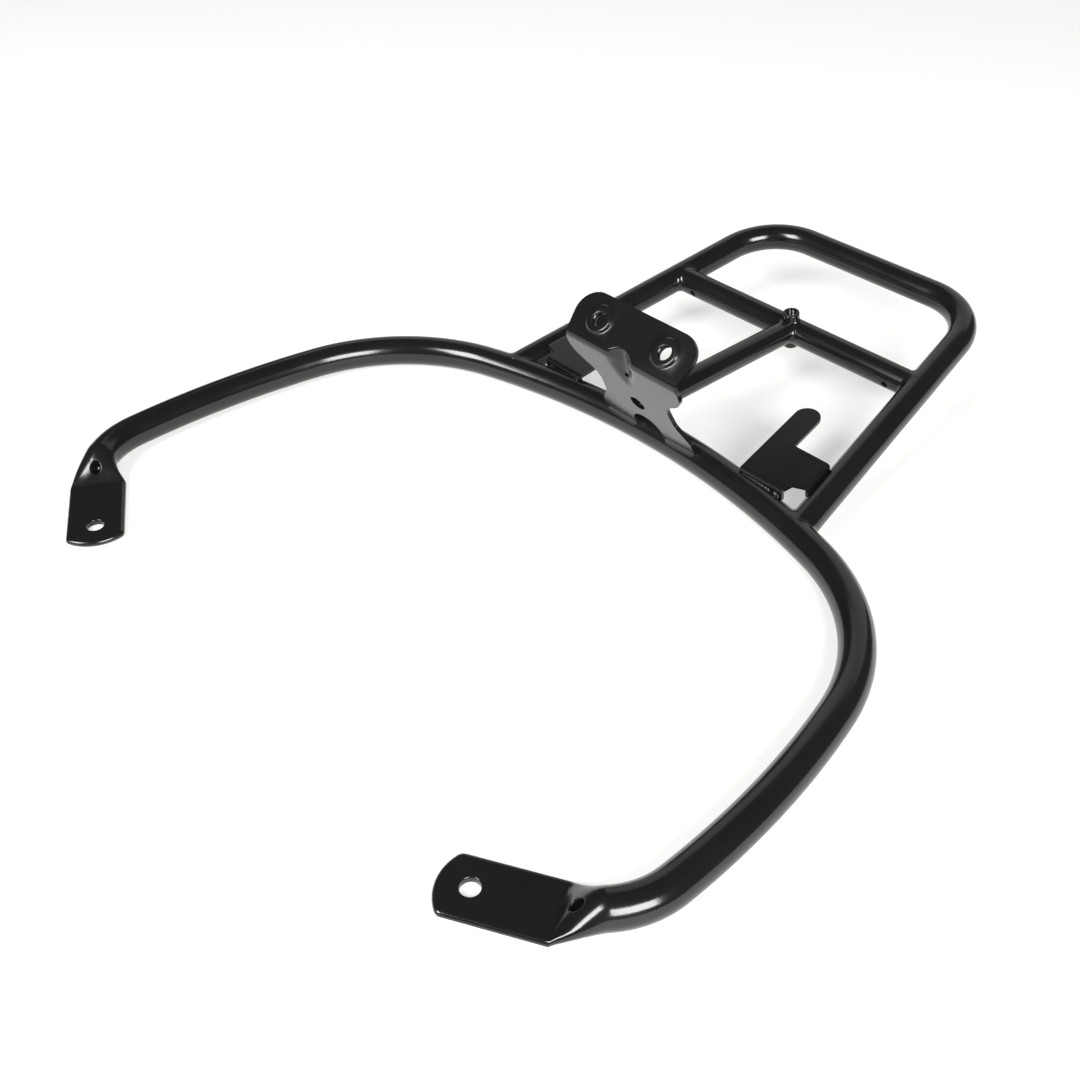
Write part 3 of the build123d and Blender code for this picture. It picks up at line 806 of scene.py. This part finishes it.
def strut_line(size):
    """The strut's axis, from the outer face of the web to the crossbar's axis: its front end, its middle,
    the way rearwards and the distance from the middle to the crossbar, and a ring of the tube there."""
    rack, bracket = size.rack, size.bracket
    front_y = bracket.bend_y + (bracket.bend_z - rack.strut_rise) * math.tan(bracket.web_lean)
    front = size.hoop.origin + (0, front_y, rack.strut_rise)
    way = unit(rack.cross - front)
    middle = (front + rack.cross) / 2
    ring = round_ring(middle, ACROSS, unit(np.cross(ACROSS, way)), rack.strut_r)
    return front, middle, way, np.linalg.norm(rack.cross - middle), ring


def strut(size):
    """Centre strut: a tube from inside the web sheet to its saddle on the crossbar."""
    rack, bracket = size.rack, size.bracket
    front, _, way, reach, ring = strut_line(size)
    gone = halving(ring, way, from_line(rack.cross, ACROSS), rack.cross_r - INTO, reach)
    _, web_out = web_ways(bracket)
    plane = front - (bracket.sheet - INTO) * web_out
    ahead = ((plane - ring) @ web_out) / (way @ web_out)
    along = ahead + np.linspace(0, 1, 60)[:, None] * (gone - ahead)
    return capped(ring + along[..., None] * way)


class LUGGAGE_RACK_OT_rack_tubes(Operator):
    """Add the rack loop, the crossbar and the centre strut"""

    bl_idname = "luggage_rack.rack_tubes"
    bl_label = "Rack tubes"

    def execute(self, context):
        size = sizes()
        loop = rack_tube(size)
        make_piece("loop", joined([loop, mirrored(*loop)]), "tube_coat", ["rack_loop"])
        bar = crossbar(size)
        make_piece("crossbar", joined([bar, mirrored(*bar)]), "tube_coat", ["rack_crossbar"])
        make_piece("strut", strut(size), "tube_coat", ["centre_strut"])
        return {"FINISHED"}


# ---------------------------------------------------------------- bush

def bush(size):
    """Threaded bush: a profile of outside, chamfers and thread turned about the bush axis. The bore's
    radius is the core plus a triangular wave of the height over the pitch less the turn."""
    rack = size.rack
    radius, core = rack.bush / 2, rack.bush_core / 2
    high, low = rack.cross_r + rack.bush_above, -rack.cross_r - rack.bush_below
    chamfer, ease, thread_deep = 0.5, 0.12, 0.5
    turn = 2 * np.pi * np.arange(48) / 48
    height = np.linspace(low + chamfer, high - chamfer, 190)
    wave = np.abs(((height[:, None] / rack.bush_pitch - turn / (2 * np.pi)) % 1) * 2 - 1)
    bore = core + thread_deep * wave
    lip = [(core + chamfer + 0.3, 0), (radius - chamfer, 0), (radius - ease, ease), (radius, chamfer)]
    outside = [(r, high - down) for r, down in lip]
    outside += [(radius, z) for z in np.linspace(high - chamfer, low + chamfer, 12)[1:-1]]
    outside += [(r, low + up) for r, up in lip[::-1]]
    outside = np.array(outside)
    plain = outside[:, :1] * np.ones(len(turn))
    r = np.concatenate([plain, bore, plain[:1]])
    z = np.concatenate([outside[:, 1], height, [high]])[:, None]
    side = np.cos(turn)[:, None] * ACROSS + np.sin(turn)[:, None] * rack.along
    return skin(rack.cross + r[..., None] * side + z[..., None] * rack.up)


class LUGGAGE_RACK_OT_bush(Operator):
    """Add the threaded bush of the crossbar"""

    bl_idname = "luggage_rack.bush"
    bl_label = "Threaded bush"

    def execute(self, context):
        make_piece("bush", bush(sizes()), "tube_coat", ["rack_bush"])
        return {"FINISHED"}


# ---------------------------------------------------------------- mounting bracket

def smooth_line(knots, values, at):
    """Cubic through the values at the knots, its slope at each knot that of the neighbours' chord."""
    slope = np.gradient(values, knots)
    i = np.clip(np.searchsorted(knots, at) - 1, 0, len(knots) - 2)
    step = knots[i + 1] - knots[i]
    t = (at - knots[i]) / step
    a = values[i] * (1 + 2 * t) * (1 - t) ** 2 + values[i + 1] * (3 - 2 * t) * t**2
    return a + step * (slope[i] * t * (1 - t) ** 2 - slope[i + 1] * (1 - t) * t**2)


WEB_OUTLINE = np.array([        # distance down the web and half width
    (0, 39.6), (8, 41.0), (13, 40.3), (20, 35.0), (24, 29.5), (30, 25.6), (38, 25.3), (45, 26.4), (51, 30.0),
    (57, 33.4), (63, 34.0), (72, 34.0),
])
WEB_LEGS = 48.6                 # distance down the web from which its mesh goes round the arch
DART_DEEP = 4.0                 # depth at which the dart has its full width


def web_half(down):
    """Half width of the web at a distance down from the bend corner."""
    return smooth_line(*WEB_OUTLINE.T, down)


def fold_place(bracket, origin, x, d):
    """Outer face of the bracket at x across and d along the sheet from the bend corner: up the flange for
    positive d, down the web for negative d, and between them an arc of the bend radius. Returns places
    and outward normals."""
    rise = bracket.flange_rise
    flange = np.array([0, math.cos(rise), math.sin(rise)])
    flange_out = np.array([0, -math.sin(rise), math.cos(rise)])
    web, web_out = web_ways(bracket)
    half = math.acos(flange_out @ web_out) / 2
    tangent = bracket.bend_radius * math.tan(half)
    corner = origin + (0, bracket.bend_y, bracket.bend_z)
    out, over = unit(flange_out + web_out), unit(flange_out - web_out)
    centre = corner - out * bracket.bend_radius / math.cos(half)
    turn = (np.clip(d / tangent, -1, 1) * half)[..., None]
    bend_out = np.cos(turn) * out + np.sin(turn) * over
    d = d[..., None]
    place = centre + bracket.bend_radius * bend_out
    place = np.where(d < -tangent, corner + d * web, place)
    place = np.where(d > tangent, corner + d * flange, place)
    return place + x[..., None] * ACROSS, bend_out


def bracket_face(bracket, origin, x, d):
    """Outer face with its pressings: pads raised round the bolt holes, and the dart, which pulls the sheet
    to the straight chord between its ends, less and less away from the middle."""
    place, out = fold_place(bracket, origin, x, d)
    from_hole = np.hypot(np.abs(x) - bracket.hole_spacing / 2, d - bracket.hole_up)
    rise = np.clip((bracket.pad_foot / 2 - from_hole) / (bracket.pad_foot / 2 - bracket.pad / 2), 0, 1)
    place = place + (bracket.pad_rise * rise**2 * (3 - 2 * rise))[..., None] * out
    ends = np.array([-bracket.dart_down, bracket.dart_up])
    (low, high), _ = fold_place(bracket, origin, np.zeros(2), ends)
    share_up = np.clip((d - ends[0]) / (ends[1] - ends[0]), 0, 1)[..., None]
    middle, _ = fold_place(bracket, origin, 0 * x, d)
    pull = low + share_up * (high - low) - middle
    deep = np.linalg.norm(pull, axis=-1)
    width = bracket.dart_half * np.sqrt(np.clip(deep / DART_DEEP, 0.02, 1))
    near = np.clip(1 - np.abs(x) / width, 0, 1)
    inside = (d > ends[0]) & (d < ends[1])
    return place + pull * (np.where(inside, near**2 * (3 - 2 * near), 0))[..., None]


def bracket_surface(size):
    """Bracket: rows of the flat pattern from the top edge down to the arch, each as wide as the outline,
    then a ribbon between the arch and the outline down both legs."""
    bracket, origin = size.bracket, size.hoop.origin
    lean = math.atan2(bracket.flange_top - bracket.flange_half, bracket.flange_length)
    corner = bracket.flange_corner
    round_d = bracket.flange_length - corner
    round_x = bracket.flange_half + round_d * math.tan(lean) - corner / math.cos(lean)
    turn = np.linspace(-lean, math.pi / 2, 13)
    bend = 3                    # rows are closer than this to the bend corner
    down = np.concatenate([np.linspace(-WEB_LEGS, -bend, 42), np.linspace(-bend, bend, 11)[1:]])
    straight = np.linspace(bend, round_d - corner * math.sin(lean), 9)[1:-1]
    d = np.concatenate([down, straight, round_d + corner * np.sin(turn)])
    half = np.concatenate([
        web_half(np.clip(-down, 0, None)) + np.clip(down, 0, None) * math.tan(lean),
        bracket.flange_half + straight * math.tan(lean),
        round_x + corner * np.cos(turn),
    ])
    columns = np.linspace(-1, 1, 41)
    across, along = columns * half[:, None], np.broadcast_to(d[:, None], (len(d), len(columns)))
    bolt, window, pip = bracket.hole / 2, bracket.window / 2, bracket.pip / 2
    pad_rings = np.linspace(bracket.pad / 2, bracket.pad_foot / 2, 7)
    bolt_rings = np.concatenate([bolt + np.array([0, 0.5, 1.3]), pad_rings])
    holes = [(side * bracket.hole_spacing / 2, bracket.hole_up, bolt_rings) for side in (-1, 1)]
    holes.append((0, -bracket.window_down, window + np.array([0, 0.5, 1.2])))
    holes.append((0, -bracket.pip_down, pip + np.array([0, 0.35, 0.8])))
    flat, quads, _ = flat_pattern(across, along, holes)
    upper = (bracket_face(bracket, origin, flat[:, 0], flat[:, 1]), quads)

    foot, arch_r = -bracket.web_length, bracket.arch_half
    leg = np.linspace(foot, -WEB_LEGS, 14)[:-1]
    spring = -bracket.arch_top - arch_r
    arch = np.linspace(math.pi, 0, len(columns))
    rise = np.linspace(foot, spring, len(leg) + 1)[:-1]
    outer = np.stack([
        np.concatenate([-web_half(-leg), across[0], web_half(-leg)[::-1]]),
        np.concatenate([leg, along[0], leg[::-1]]),
    ])
    inner = np.stack([
        np.concatenate([0 * rise - arch_r, arch_r * np.cos(arch), 0 * rise + arch_r]),
        np.concatenate([rise, spring + arch_r * np.sin(arch), rise[::-1]]),
    ])
    mix = np.linspace(0, 1, 9)[:, None]
    x, d = (inside + mix * (outside - inside) for inside, outside in zip(inner, outer))
    return joined([upper, grids(bracket_face(bracket, origin, x, d))])


def collars(size):
    """Drawn collars of the two bolt holes: a profile turned about each hole's axis, from the rim of the
    hole down its wall, round the lower edge and up the outside into the sheet."""
    bracket, origin = size.bracket, size.hoop.origin
    bore, outer = bracket.hole / 2, bracket.collar / 2
    low = -bracket.sheet - bracket.collar_depth + bracket.pad_rise
    soft, proud = 0.5, 0.02
    turn = np.linspace(0, math.pi / 2, 5)
    profile = [(bore - proud, bracket.pad_rise - INTO)]
    profile += [(bore - proud + soft * (1 - math.cos(a)), low + soft * (1 - math.sin(a))) for a in turn]
    profile += [(outer - soft * (1 - math.sin(a)), low + soft * (1 - math.cos(a))) for a in turn]
    profile += [(outer, bracket.pad_rise - bracket.sheet + INTO), profile[0]]
    profile = np.array(profile)
    centres = bracket.hole_spacing / 2 * np.array([-1, 1])
    parts = []
    for place, out in zip(*fold_place(bracket, origin, centres, bracket.hole_up + 0 * centres)):
        ring = round_ring(0 * place, ACROSS, np.cross(out, ACROSS), 1, 72)
        parts.append(skin(place + profile[:, :1, None] * ring + profile[:, 1:, None] * out))
    return joined(parts)


class LUGGAGE_RACK_OT_bracket(Operator):
    """Add the folded mounting bracket"""

    bl_idname = "luggage_rack.bracket"
    bl_label = "Mounting bracket"

    def execute(self, context):
        size = sizes()
        make_piece("bracket", bracket_surface(size), "sheet_coat", ["mounting_bracket"],
                   facing=(0, -1, 0), sheet=size.bracket.sheet, edge=0.45)
        make_piece("collars", collars(size), "sheet_coat", ["mounting_bracket"])
        return {"FINISHED"}


# ---------------------------------------------------------------- case plates

def fold_down(radius, gone, deep):
    """A fold of quarter-round section: how far out and how far down it is after gone along the sheet."""
    turn = np.clip(gone / radius, 0, math.pi / 2)
    past = np.clip(gone - radius * math.pi / 2, 0, deep)
    return radius * np.sin(turn), radius * (1 - np.cos(turn)) + past


def plate_surface(size):
    """Right case plate in its own plane: finger column, middle column and leg column of the top, the tip,
    the front lip and the side lip, all meeting on shared lines."""
    plate, rack, hoop = size.plate, size.rack, size.hoop
    fold, tan_f = plate.fold, math.tan(plate.finger_turn)
    lateral = np.array([math.cos(plate.finger_turn), math.sin(plate.finger_turn)])
    onward = np.array([-lateral[1], lateral[0]])
    tip = np.array([plate.finger_x, plate.finger_reach])
    left_tip, right_tip = tip - lateral * plate.finger / 2, tip + lateral * plate.finger / 2
    notch_end = plate.relief_y + plate.relief_step
    v = np.linspace(plate.front + fold, plate.relief_y, 6)
    v = np.concatenate([v, np.linspace(plate.relief_y, plate.depth, 14)[1:]])
    left = left_tip[0] + (left_tip[1] - v) * tan_f
    slot = right_tip[0] + (right_tip[1] - v) * tan_f
    back = (v - plate.front) / (plate.relief_y - plate.front)
    notch = plate.outer + (plate.relief_x - plate.outer) * np.minimum(back, 1)
    line = np.array([leg_x(rack, y) - plate.leg_gap for y in (notch_end, plate.depth)])
    side_out = np.array([math.cos(rack.toe), math.sin(rack.toe)])

    def level(x, y, down=0):
        x, y, down = np.broadcast_arrays(x, y, down)
        origin = hoop.origin + (0, 0, plate.lift)
        return origin + x[..., None] * ACROSS + y[..., None] * rack.along - down[..., None] * rack.up

    a = np.linspace(0, 1, 9)
    finger_top = level(left[:, None] + a * (slot - left)[:, None], v[:, None])
    k = np.linspace(0, 1, 10)[1:, None]
    base = np.stack([left[-1] + a * (slot[-1] - left[-1]), 0 * a + plate.depth], -1)
    cross = left_tip + a[:, None] * (right_tip - left_tip)
    stem = (1 - k[..., None]) * base + k[..., None] * cross
    turn = np.linspace(0, math.pi / 2, 10)[1:, None, None]
    tip_r = plate.finger / 2
    cap = tip + (2 * a[:, None] - 1) * lateral * tip_r * np.cos(turn) + onward * tip_r * np.sin(turn)
    finger = np.concatenate([base[None], stem, cap])
    finger = level(finger[..., 0], finger[..., 1])

    b = np.linspace(0, 1, 9)
    middle_top = level(slot[:, None] + b * (notch - slot)[:, None], v[:, None])
    rows = (v[5:] - plate.relief_y) / (plate.depth - plate.relief_y)
    low = plate.relief_y + b * plate.relief_step
    leg_v = low + rows[:, None] * (plate.depth - low)
    edge_line = line[0] + (line[1] - line[0]) * (leg_v - notch_end) / (plate.depth - notch_end)
    edge_line = edge_line - fold / math.cos(rack.toe)
    leg_top = level(plate.relief_x + b * (edge_line - plate.relief_x), leg_v)

    front_gone = np.linspace(fold * math.pi / 2 + plate.front_lip - fold, 0, 14)[:, None]
    out, down = fold_down(fold, front_gone, plate.front_lip)
    front_x = np.concatenate([left[0] + a * (slot[0] - left[0]), (slot[0] + b * (notch[0] - slot[0]))[1:]])
    front_lip = level(front_x, v[0] - out, down)
    side_gone = np.linspace(0, fold * math.pi / 2 + plate.side_lip - fold, 13)
    out, down = fold_down(fold, side_gone, plate.side_lip)
    edge_x, edge_v = edge_line[:, -1:], leg_v[:, -1:]
    side_lip = level(edge_x + out * side_out[0], edge_v + out * side_out[1], down)
    return grids(finger_top, finger, middle_top, leg_top, front_lip, side_lip)


class LUGGAGE_RACK_OT_case_plates(Operator):
    """Add the two case plates"""

    bl_idname = "luggage_rack.case_plates"
    bl_label = "Case plates"

    def execute(self, context):
        size = sizes()
        right = plate_surface(size)
        for side, surface in (("right", right), ("left", mirrored(*right))):
            make_piece(f"plate_{side}", surface, "sheet_coat", [f"case_plate_{side}"],
                       facing=tuple(size.rack.up), sheet=size.plate.sheet, edge=0.3)
        return {"FINISHED"}


# ---------------------------------------------------------------- weld beads

def ring_bead(size, ring, way, distance, target, reach, centre, leg):
    """Bead where a tube meets another surface: each line of the tube goes on to that surface."""
    curve = ring + halving(ring, way, distance, target, reach)[:, None] * way
    out = ring - centre
    out = unit(out - (out @ way)[:, None] * way)
    normal = away_from(distance, curve)
    second = out + 0.5 * way
    second = unit(second - (second * normal).sum(-1, keepdims=True) * normal)
    first = np.broadcast_to(-way, out.shape)
    points, quads = bead(curve, first, second, -out, -normal, leg, size.weld.ripple)
    points[:, 2] = np.maximum(points[:, 2], size.weld.clearance)
    return points, quads


def open_bead(size, curve, first, into_first, normal, leg):
    """Bead on an open curve, its leg falling to nothing at both ends; the second surface has that normal."""
    k = np.linspace(-1, 1, len(curve))
    first, into_first, normal = (np.broadcast_to(v, curve.shape) for v in (first, into_first, normal))
    second = unit(-into_first - (-into_first * normal).sum(-1, keepdims=True) * normal)
    leg = leg * np.sqrt(np.clip(1 - k**8, 0.02, 1))
    return bead(curve, first, second, into_first, -normal, leg, size.weld.ripple, closed=False)


def leg_bead(size):
    """Bead round the right leg on the hoop."""
    ring, way, distance = leg_end(size)
    return ring_bead(size, ring, way, distance, size.hoop.r, LEG_END, ring.mean(0), size.weld.bead)


def crossbar_bead(size):
    """Bead round the right end of the crossbar on the leg."""
    rack = size.rack
    ring = round_ring(rack.cross, REARWARDS, UP, rack.cross_r)
    half = leg_x(rack, rack.cross_reach)
    return ring_bead(size, ring, ACROSS, from_line(*leg_line(rack)), rack.r, half, rack.cross, size.weld.bead)


def strut_beads(size):
    """Beads round the strut: on the back of the web, and on the crossbar."""
    rack, leg = size.rack, size.weld.bead
    front, middle, way, reach, ring = strut_line(size)
    behind = ring_bead(size, ring, way, from_line(rack.cross, ACROSS), rack.cross_r, reach, middle, leg)
    _, web_out = web_ways(size.bracket)
    plane = front - size.bracket.sheet * web_out

    def from_web(points):
        return (plane - points) @ web_out

    return ring_bead(size, ring, -way, from_web, 0, 1.2 * reach, middle, leg), behind


def bush_bead(size):
    """Bead round the bush on top of the crossbar."""
    rack, leg = size.rack, size.weld.bead * 0.7
    above = 3 * rack.cross_r
    top = rack.cross + rack.up * above
    ring = round_ring(top, ACROSS, rack.along, rack.bush / 2)
    return ring_bead(size, ring, -rack.up, from_line(rack.cross, ACROSS), rack.cross_r, above, top, leg)


def lip_bead(size):
    """Bead along the foot of the front lip, on top of the hoop, swollen at its outer end."""
    plate, hoop = size.plate, size.hoop
    inner = plate.finger_x - plate.finger / 2 * math.cos(plate.finger_turn)
    inner += (plate.finger_reach - plate.front) * math.tan(plate.finger_turn)
    x = np.linspace(inner + 1, plate.outer - 0.5, 60)
    axis_y = np.sqrt(hoop.rear_radius**2 - x**2) - hoop.rear_radius
    y = np.full_like(x, plate.front)
    curve = hoop.origin + np.stack([x, y, np.sqrt(hoop.r**2 - (y - axis_y) ** 2)], -1)
    normal = away_from(from_arc(hoop.origin, hoop.rear_radius), curve)
    swell = 0.6 + 0.6 * np.clip((x - plate.outer + 7) / 3, 0, 1)
    return open_bead(size, curve, size.rack.up, size.rack.along, normal, size.weld.tack * swell)


def side_bead(size):
    """Bead along the side lip, on the leg."""
    plate, rack = size.plate, size.rack
    place, way = leg_line(rack)
    y = np.linspace(plate.relief_y + plate.relief_step + 1, plate.depth - 1, 40)
    over = math.sqrt(rack.r**2 - plate.leg_gap**2)
    gone = (y - rack.root_y) / way[1]
    inward = np.cross(way, rack.up)
    inward = -inward * np.sign(inward[0])
    normal = unit(plate.leg_gap * inward + over * rack.up)
    curve = place + gone[:, None] * way + rack.r * normal
    return open_bead(size, curve, rack.up, inward, normal, size.weld.tack * 0.8)


def foot_bead(size):
    """Bead along the right foot of the bracket, where the web meets the hoop."""
    bracket, hoop = size.bracket, size.hoop
    x = np.linspace(bracket.arch_half + 0.5, WEB_OUTLINE[-1, 1] - 0.3, 50)
    start = hoop.origin + np.stack([x, 0 * x + bracket.bend_y, 0 * x + bracket.bend_z], -1)
    web, web_out = web_ways(bracket)
    distance = from_arc(hoop.origin, hoop.rear_radius)
    curve = start - halving(start, -web, distance, hoop.r, 74)[:, None] * web
    return open_bead(size, curve, web, -web_out, away_from(distance, curve), size.weld.tack)


class LUGGAGE_RACK_OT_welds(Operator):
    """Add the weld beads of every joint"""

    bl_idname = "luggage_rack.welds"
    bl_label = "Weld beads"

    def execute(self, context):
        size = sizes()
        paired = {
            "leg_weld": leg_bead(size),
            "crossbar_weld": crossbar_bead(size),
            "lip_weld": lip_bead(size),
            "side_weld": side_bead(size),
            "bracket_weld": foot_bead(size),
        }
        for name, surface in paired.items():
            make_piece(f"{name}_r", surface, "weld_coat", [f"{name}_right"])
            make_piece(f"{name}_l", mirrored(*surface), "weld_coat", [f"{name}_left"])
        ahead, behind = strut_beads(size)
        make_piece("strut_bead_front", ahead, "weld_coat", ["strut_weld_front"])
        make_piece("strut_bead_rear", behind, "weld_coat", ["strut_weld_rear"])
        make_piece("bush_bead", bush_bead(size), "weld_coat", ["bush_weld"])
        return {"FINISHED"}


# ---------------------------------------------------------------- stage

SOFTBOXES = (                   # name, bearing and rise in degrees, distance, width and height in degrees
    ("left softbox", 259.5, 38, 2.0, 28, 27),
    ("right softbox", 341, 31, 2.0, 34, 27),
)
BACK_WALL = ("back wall", 120, 24, 3.0, 66, 48)
DIM_ROOM = (0.08, 0.08, 0.08, 1)


def softbox(middle, glow, name, bearing, rise, away, wide, high):
    """A soft rectangular light that is seen from the middle at a bearing from X and a rise over the floor,
    wide and high as given, all in degrees. Its power is pi times the radiance times the area."""
    bearing, rise, wide, high = (math.radians(a) for a in (bearing, rise, wide, high))
    data = bpy.data.lights.new(name, "AREA")
    data.shape = "RECTANGLE"
    data.size = 2 * away * math.tan(wide / 2) * math.cos(rise)
    data.size_y = 2 * away * math.tan(high / 2)
    data.energy = math.pi * glow * data.size * data.size_y
    light = bpy.data.objects.new(name, data)
    way = Vector((math.cos(rise) * math.cos(bearing), math.cos(rise) * math.sin(bearing), math.sin(rise)))
    light.location = Vector(middle) + away * way
    light.rotation_euler = way.to_track_quat("Z", "Y").to_euler()
    bpy.context.scene.collection.objects.link(light)


def add_floor(look):
    """Pale floor: a wide plain sheet, most of whose light is its own."""
    half = 6.0
    corners = [(-half, -half, 0), (half, -half, 0), (half, half, 0), (-half, half, 0)]
    mesh = bpy.data.meshes.new("floor")
    mesh.from_pydata(corners, [], [(0, 1, 2, 3)])
    floor = bpy.data.objects.new("floor", mesh)
    bpy.context.scene.collection.objects.link(floor)
    material = bpy.data.materials.new("pale_floor")
    material.use_nodes = True
    shader = material.node_tree.nodes["Principled BSDF"]
    shader.inputs["Base Color"].default_value = (*look.floor, 1)
    shader.inputs["Roughness"].default_value = 0.7
    shader.inputs["Emission Color"].default_value = (*look.floor, 1)
    shader.inputs["Emission Strength"].default_value = look.floor_glow
    mesh.materials.append(material)


def add_camera(look):
    """Camera at the front right, looking down on the rack."""
    data = bpy.data.cameras.new("camera")
    data.lens = look.lens / MM
    data.sensor_width = 36
    data.clip_start, data.clip_end = 0.01, 50
    camera = bpy.data.objects.new("camera", data)
    camera.location = look.camera_place
    camera.rotation_euler = Euler(look.camera_turn)
    bpy.context.scene.collection.objects.link(camera)
    bpy.context.scene.camera = camera


class LUGGAGE_RACK_OT_stage(Operator):
    """Add the floor, the lights and the camera"""

    bl_idname = "luggage_rack.stage"
    bl_label = "Studio"

    def execute(self, context):
        look = context.scene.stage_look
        add_floor(look)
        add_camera(look)
        middle = (cad_box[0] + cad_box[1]) / 2
        for light in SOFTBOXES:
            softbox(middle, look.softbox_glow, *light)
        softbox(middle, look.wall_glow, *BACK_WALL)
        world = bpy.data.worlds.new("studio")
        world.use_nodes = True
        world.node_tree.nodes["Background"].inputs["Color"].default_value = DIM_ROOM
        context.scene.world = world
        context.scene.view_settings.view_transform = "Standard"
        return {"FINISHED"}


# ---------------------------------------------------------------- add-on

OPERATORS = (
    LUGGAGE_RACK_OT_grab_hoop,
    LUGGAGE_RACK_OT_rack_tubes,
    LUGGAGE_RACK_OT_bush,
    LUGGAGE_RACK_OT_bracket,
    LUGGAGE_RACK_OT_case_plates,
    LUGGAGE_RACK_OT_welds,
    LUGGAGE_RACK_OT_stage,
)


class LUGGAGE_RACK_PT_pieces(Panel):
    """Sizes, colours and pieces of the luggage rack"""

    bl_label = "Luggage rack"
    bl_idname = "LUGGAGE_RACK_PT_pieces"
    bl_space_type = "VIEW_3D"
    bl_region_type = "UI"
    bl_category = "Luggage rack"

    def draw(self, context):
        for group in GROUPS:
            box = self.layout.box()
            box.label(text=group.replace("_", " ").capitalize())
            settings = getattr(context.scene, group)
            for name in GROUPS[group].__annotations__:
                box.prop(settings, name)
        for operator in OPERATORS:
            self.layout.operator(operator.bl_idname)


CLASSES = (*GROUPS.values(), *OPERATORS, LUGGAGE_RACK_PT_pieces)


def register():
    for cls in CLASSES:
        bpy.utils.register_class(cls)
    for name, group in GROUPS.items():
        setattr(bpy.types.Scene, name, PointerProperty(type=group))


def unregister():
    for name in GROUPS:
        delattr(bpy.types.Scene, name)
    for cls in reversed(CLASSES):
        bpy.utils.unregister_class(cls)


def main():
    """Builds the whole scene."""
    register()
    bpy.ops.luggage_rack.grab_hoop()
    bpy.ops.luggage_rack.rack_tubes()
    bpy.ops.luggage_rack.bush()
    bpy.ops.luggage_rack.bracket()
    bpy.ops.luggage_rack.case_plates()
    bpy.ops.luggage_rack.welds()
    bpy.ops.luggage_rack.stage()
    bpy.context.view_layer.update()


if __name__ == "__main__":
    main()
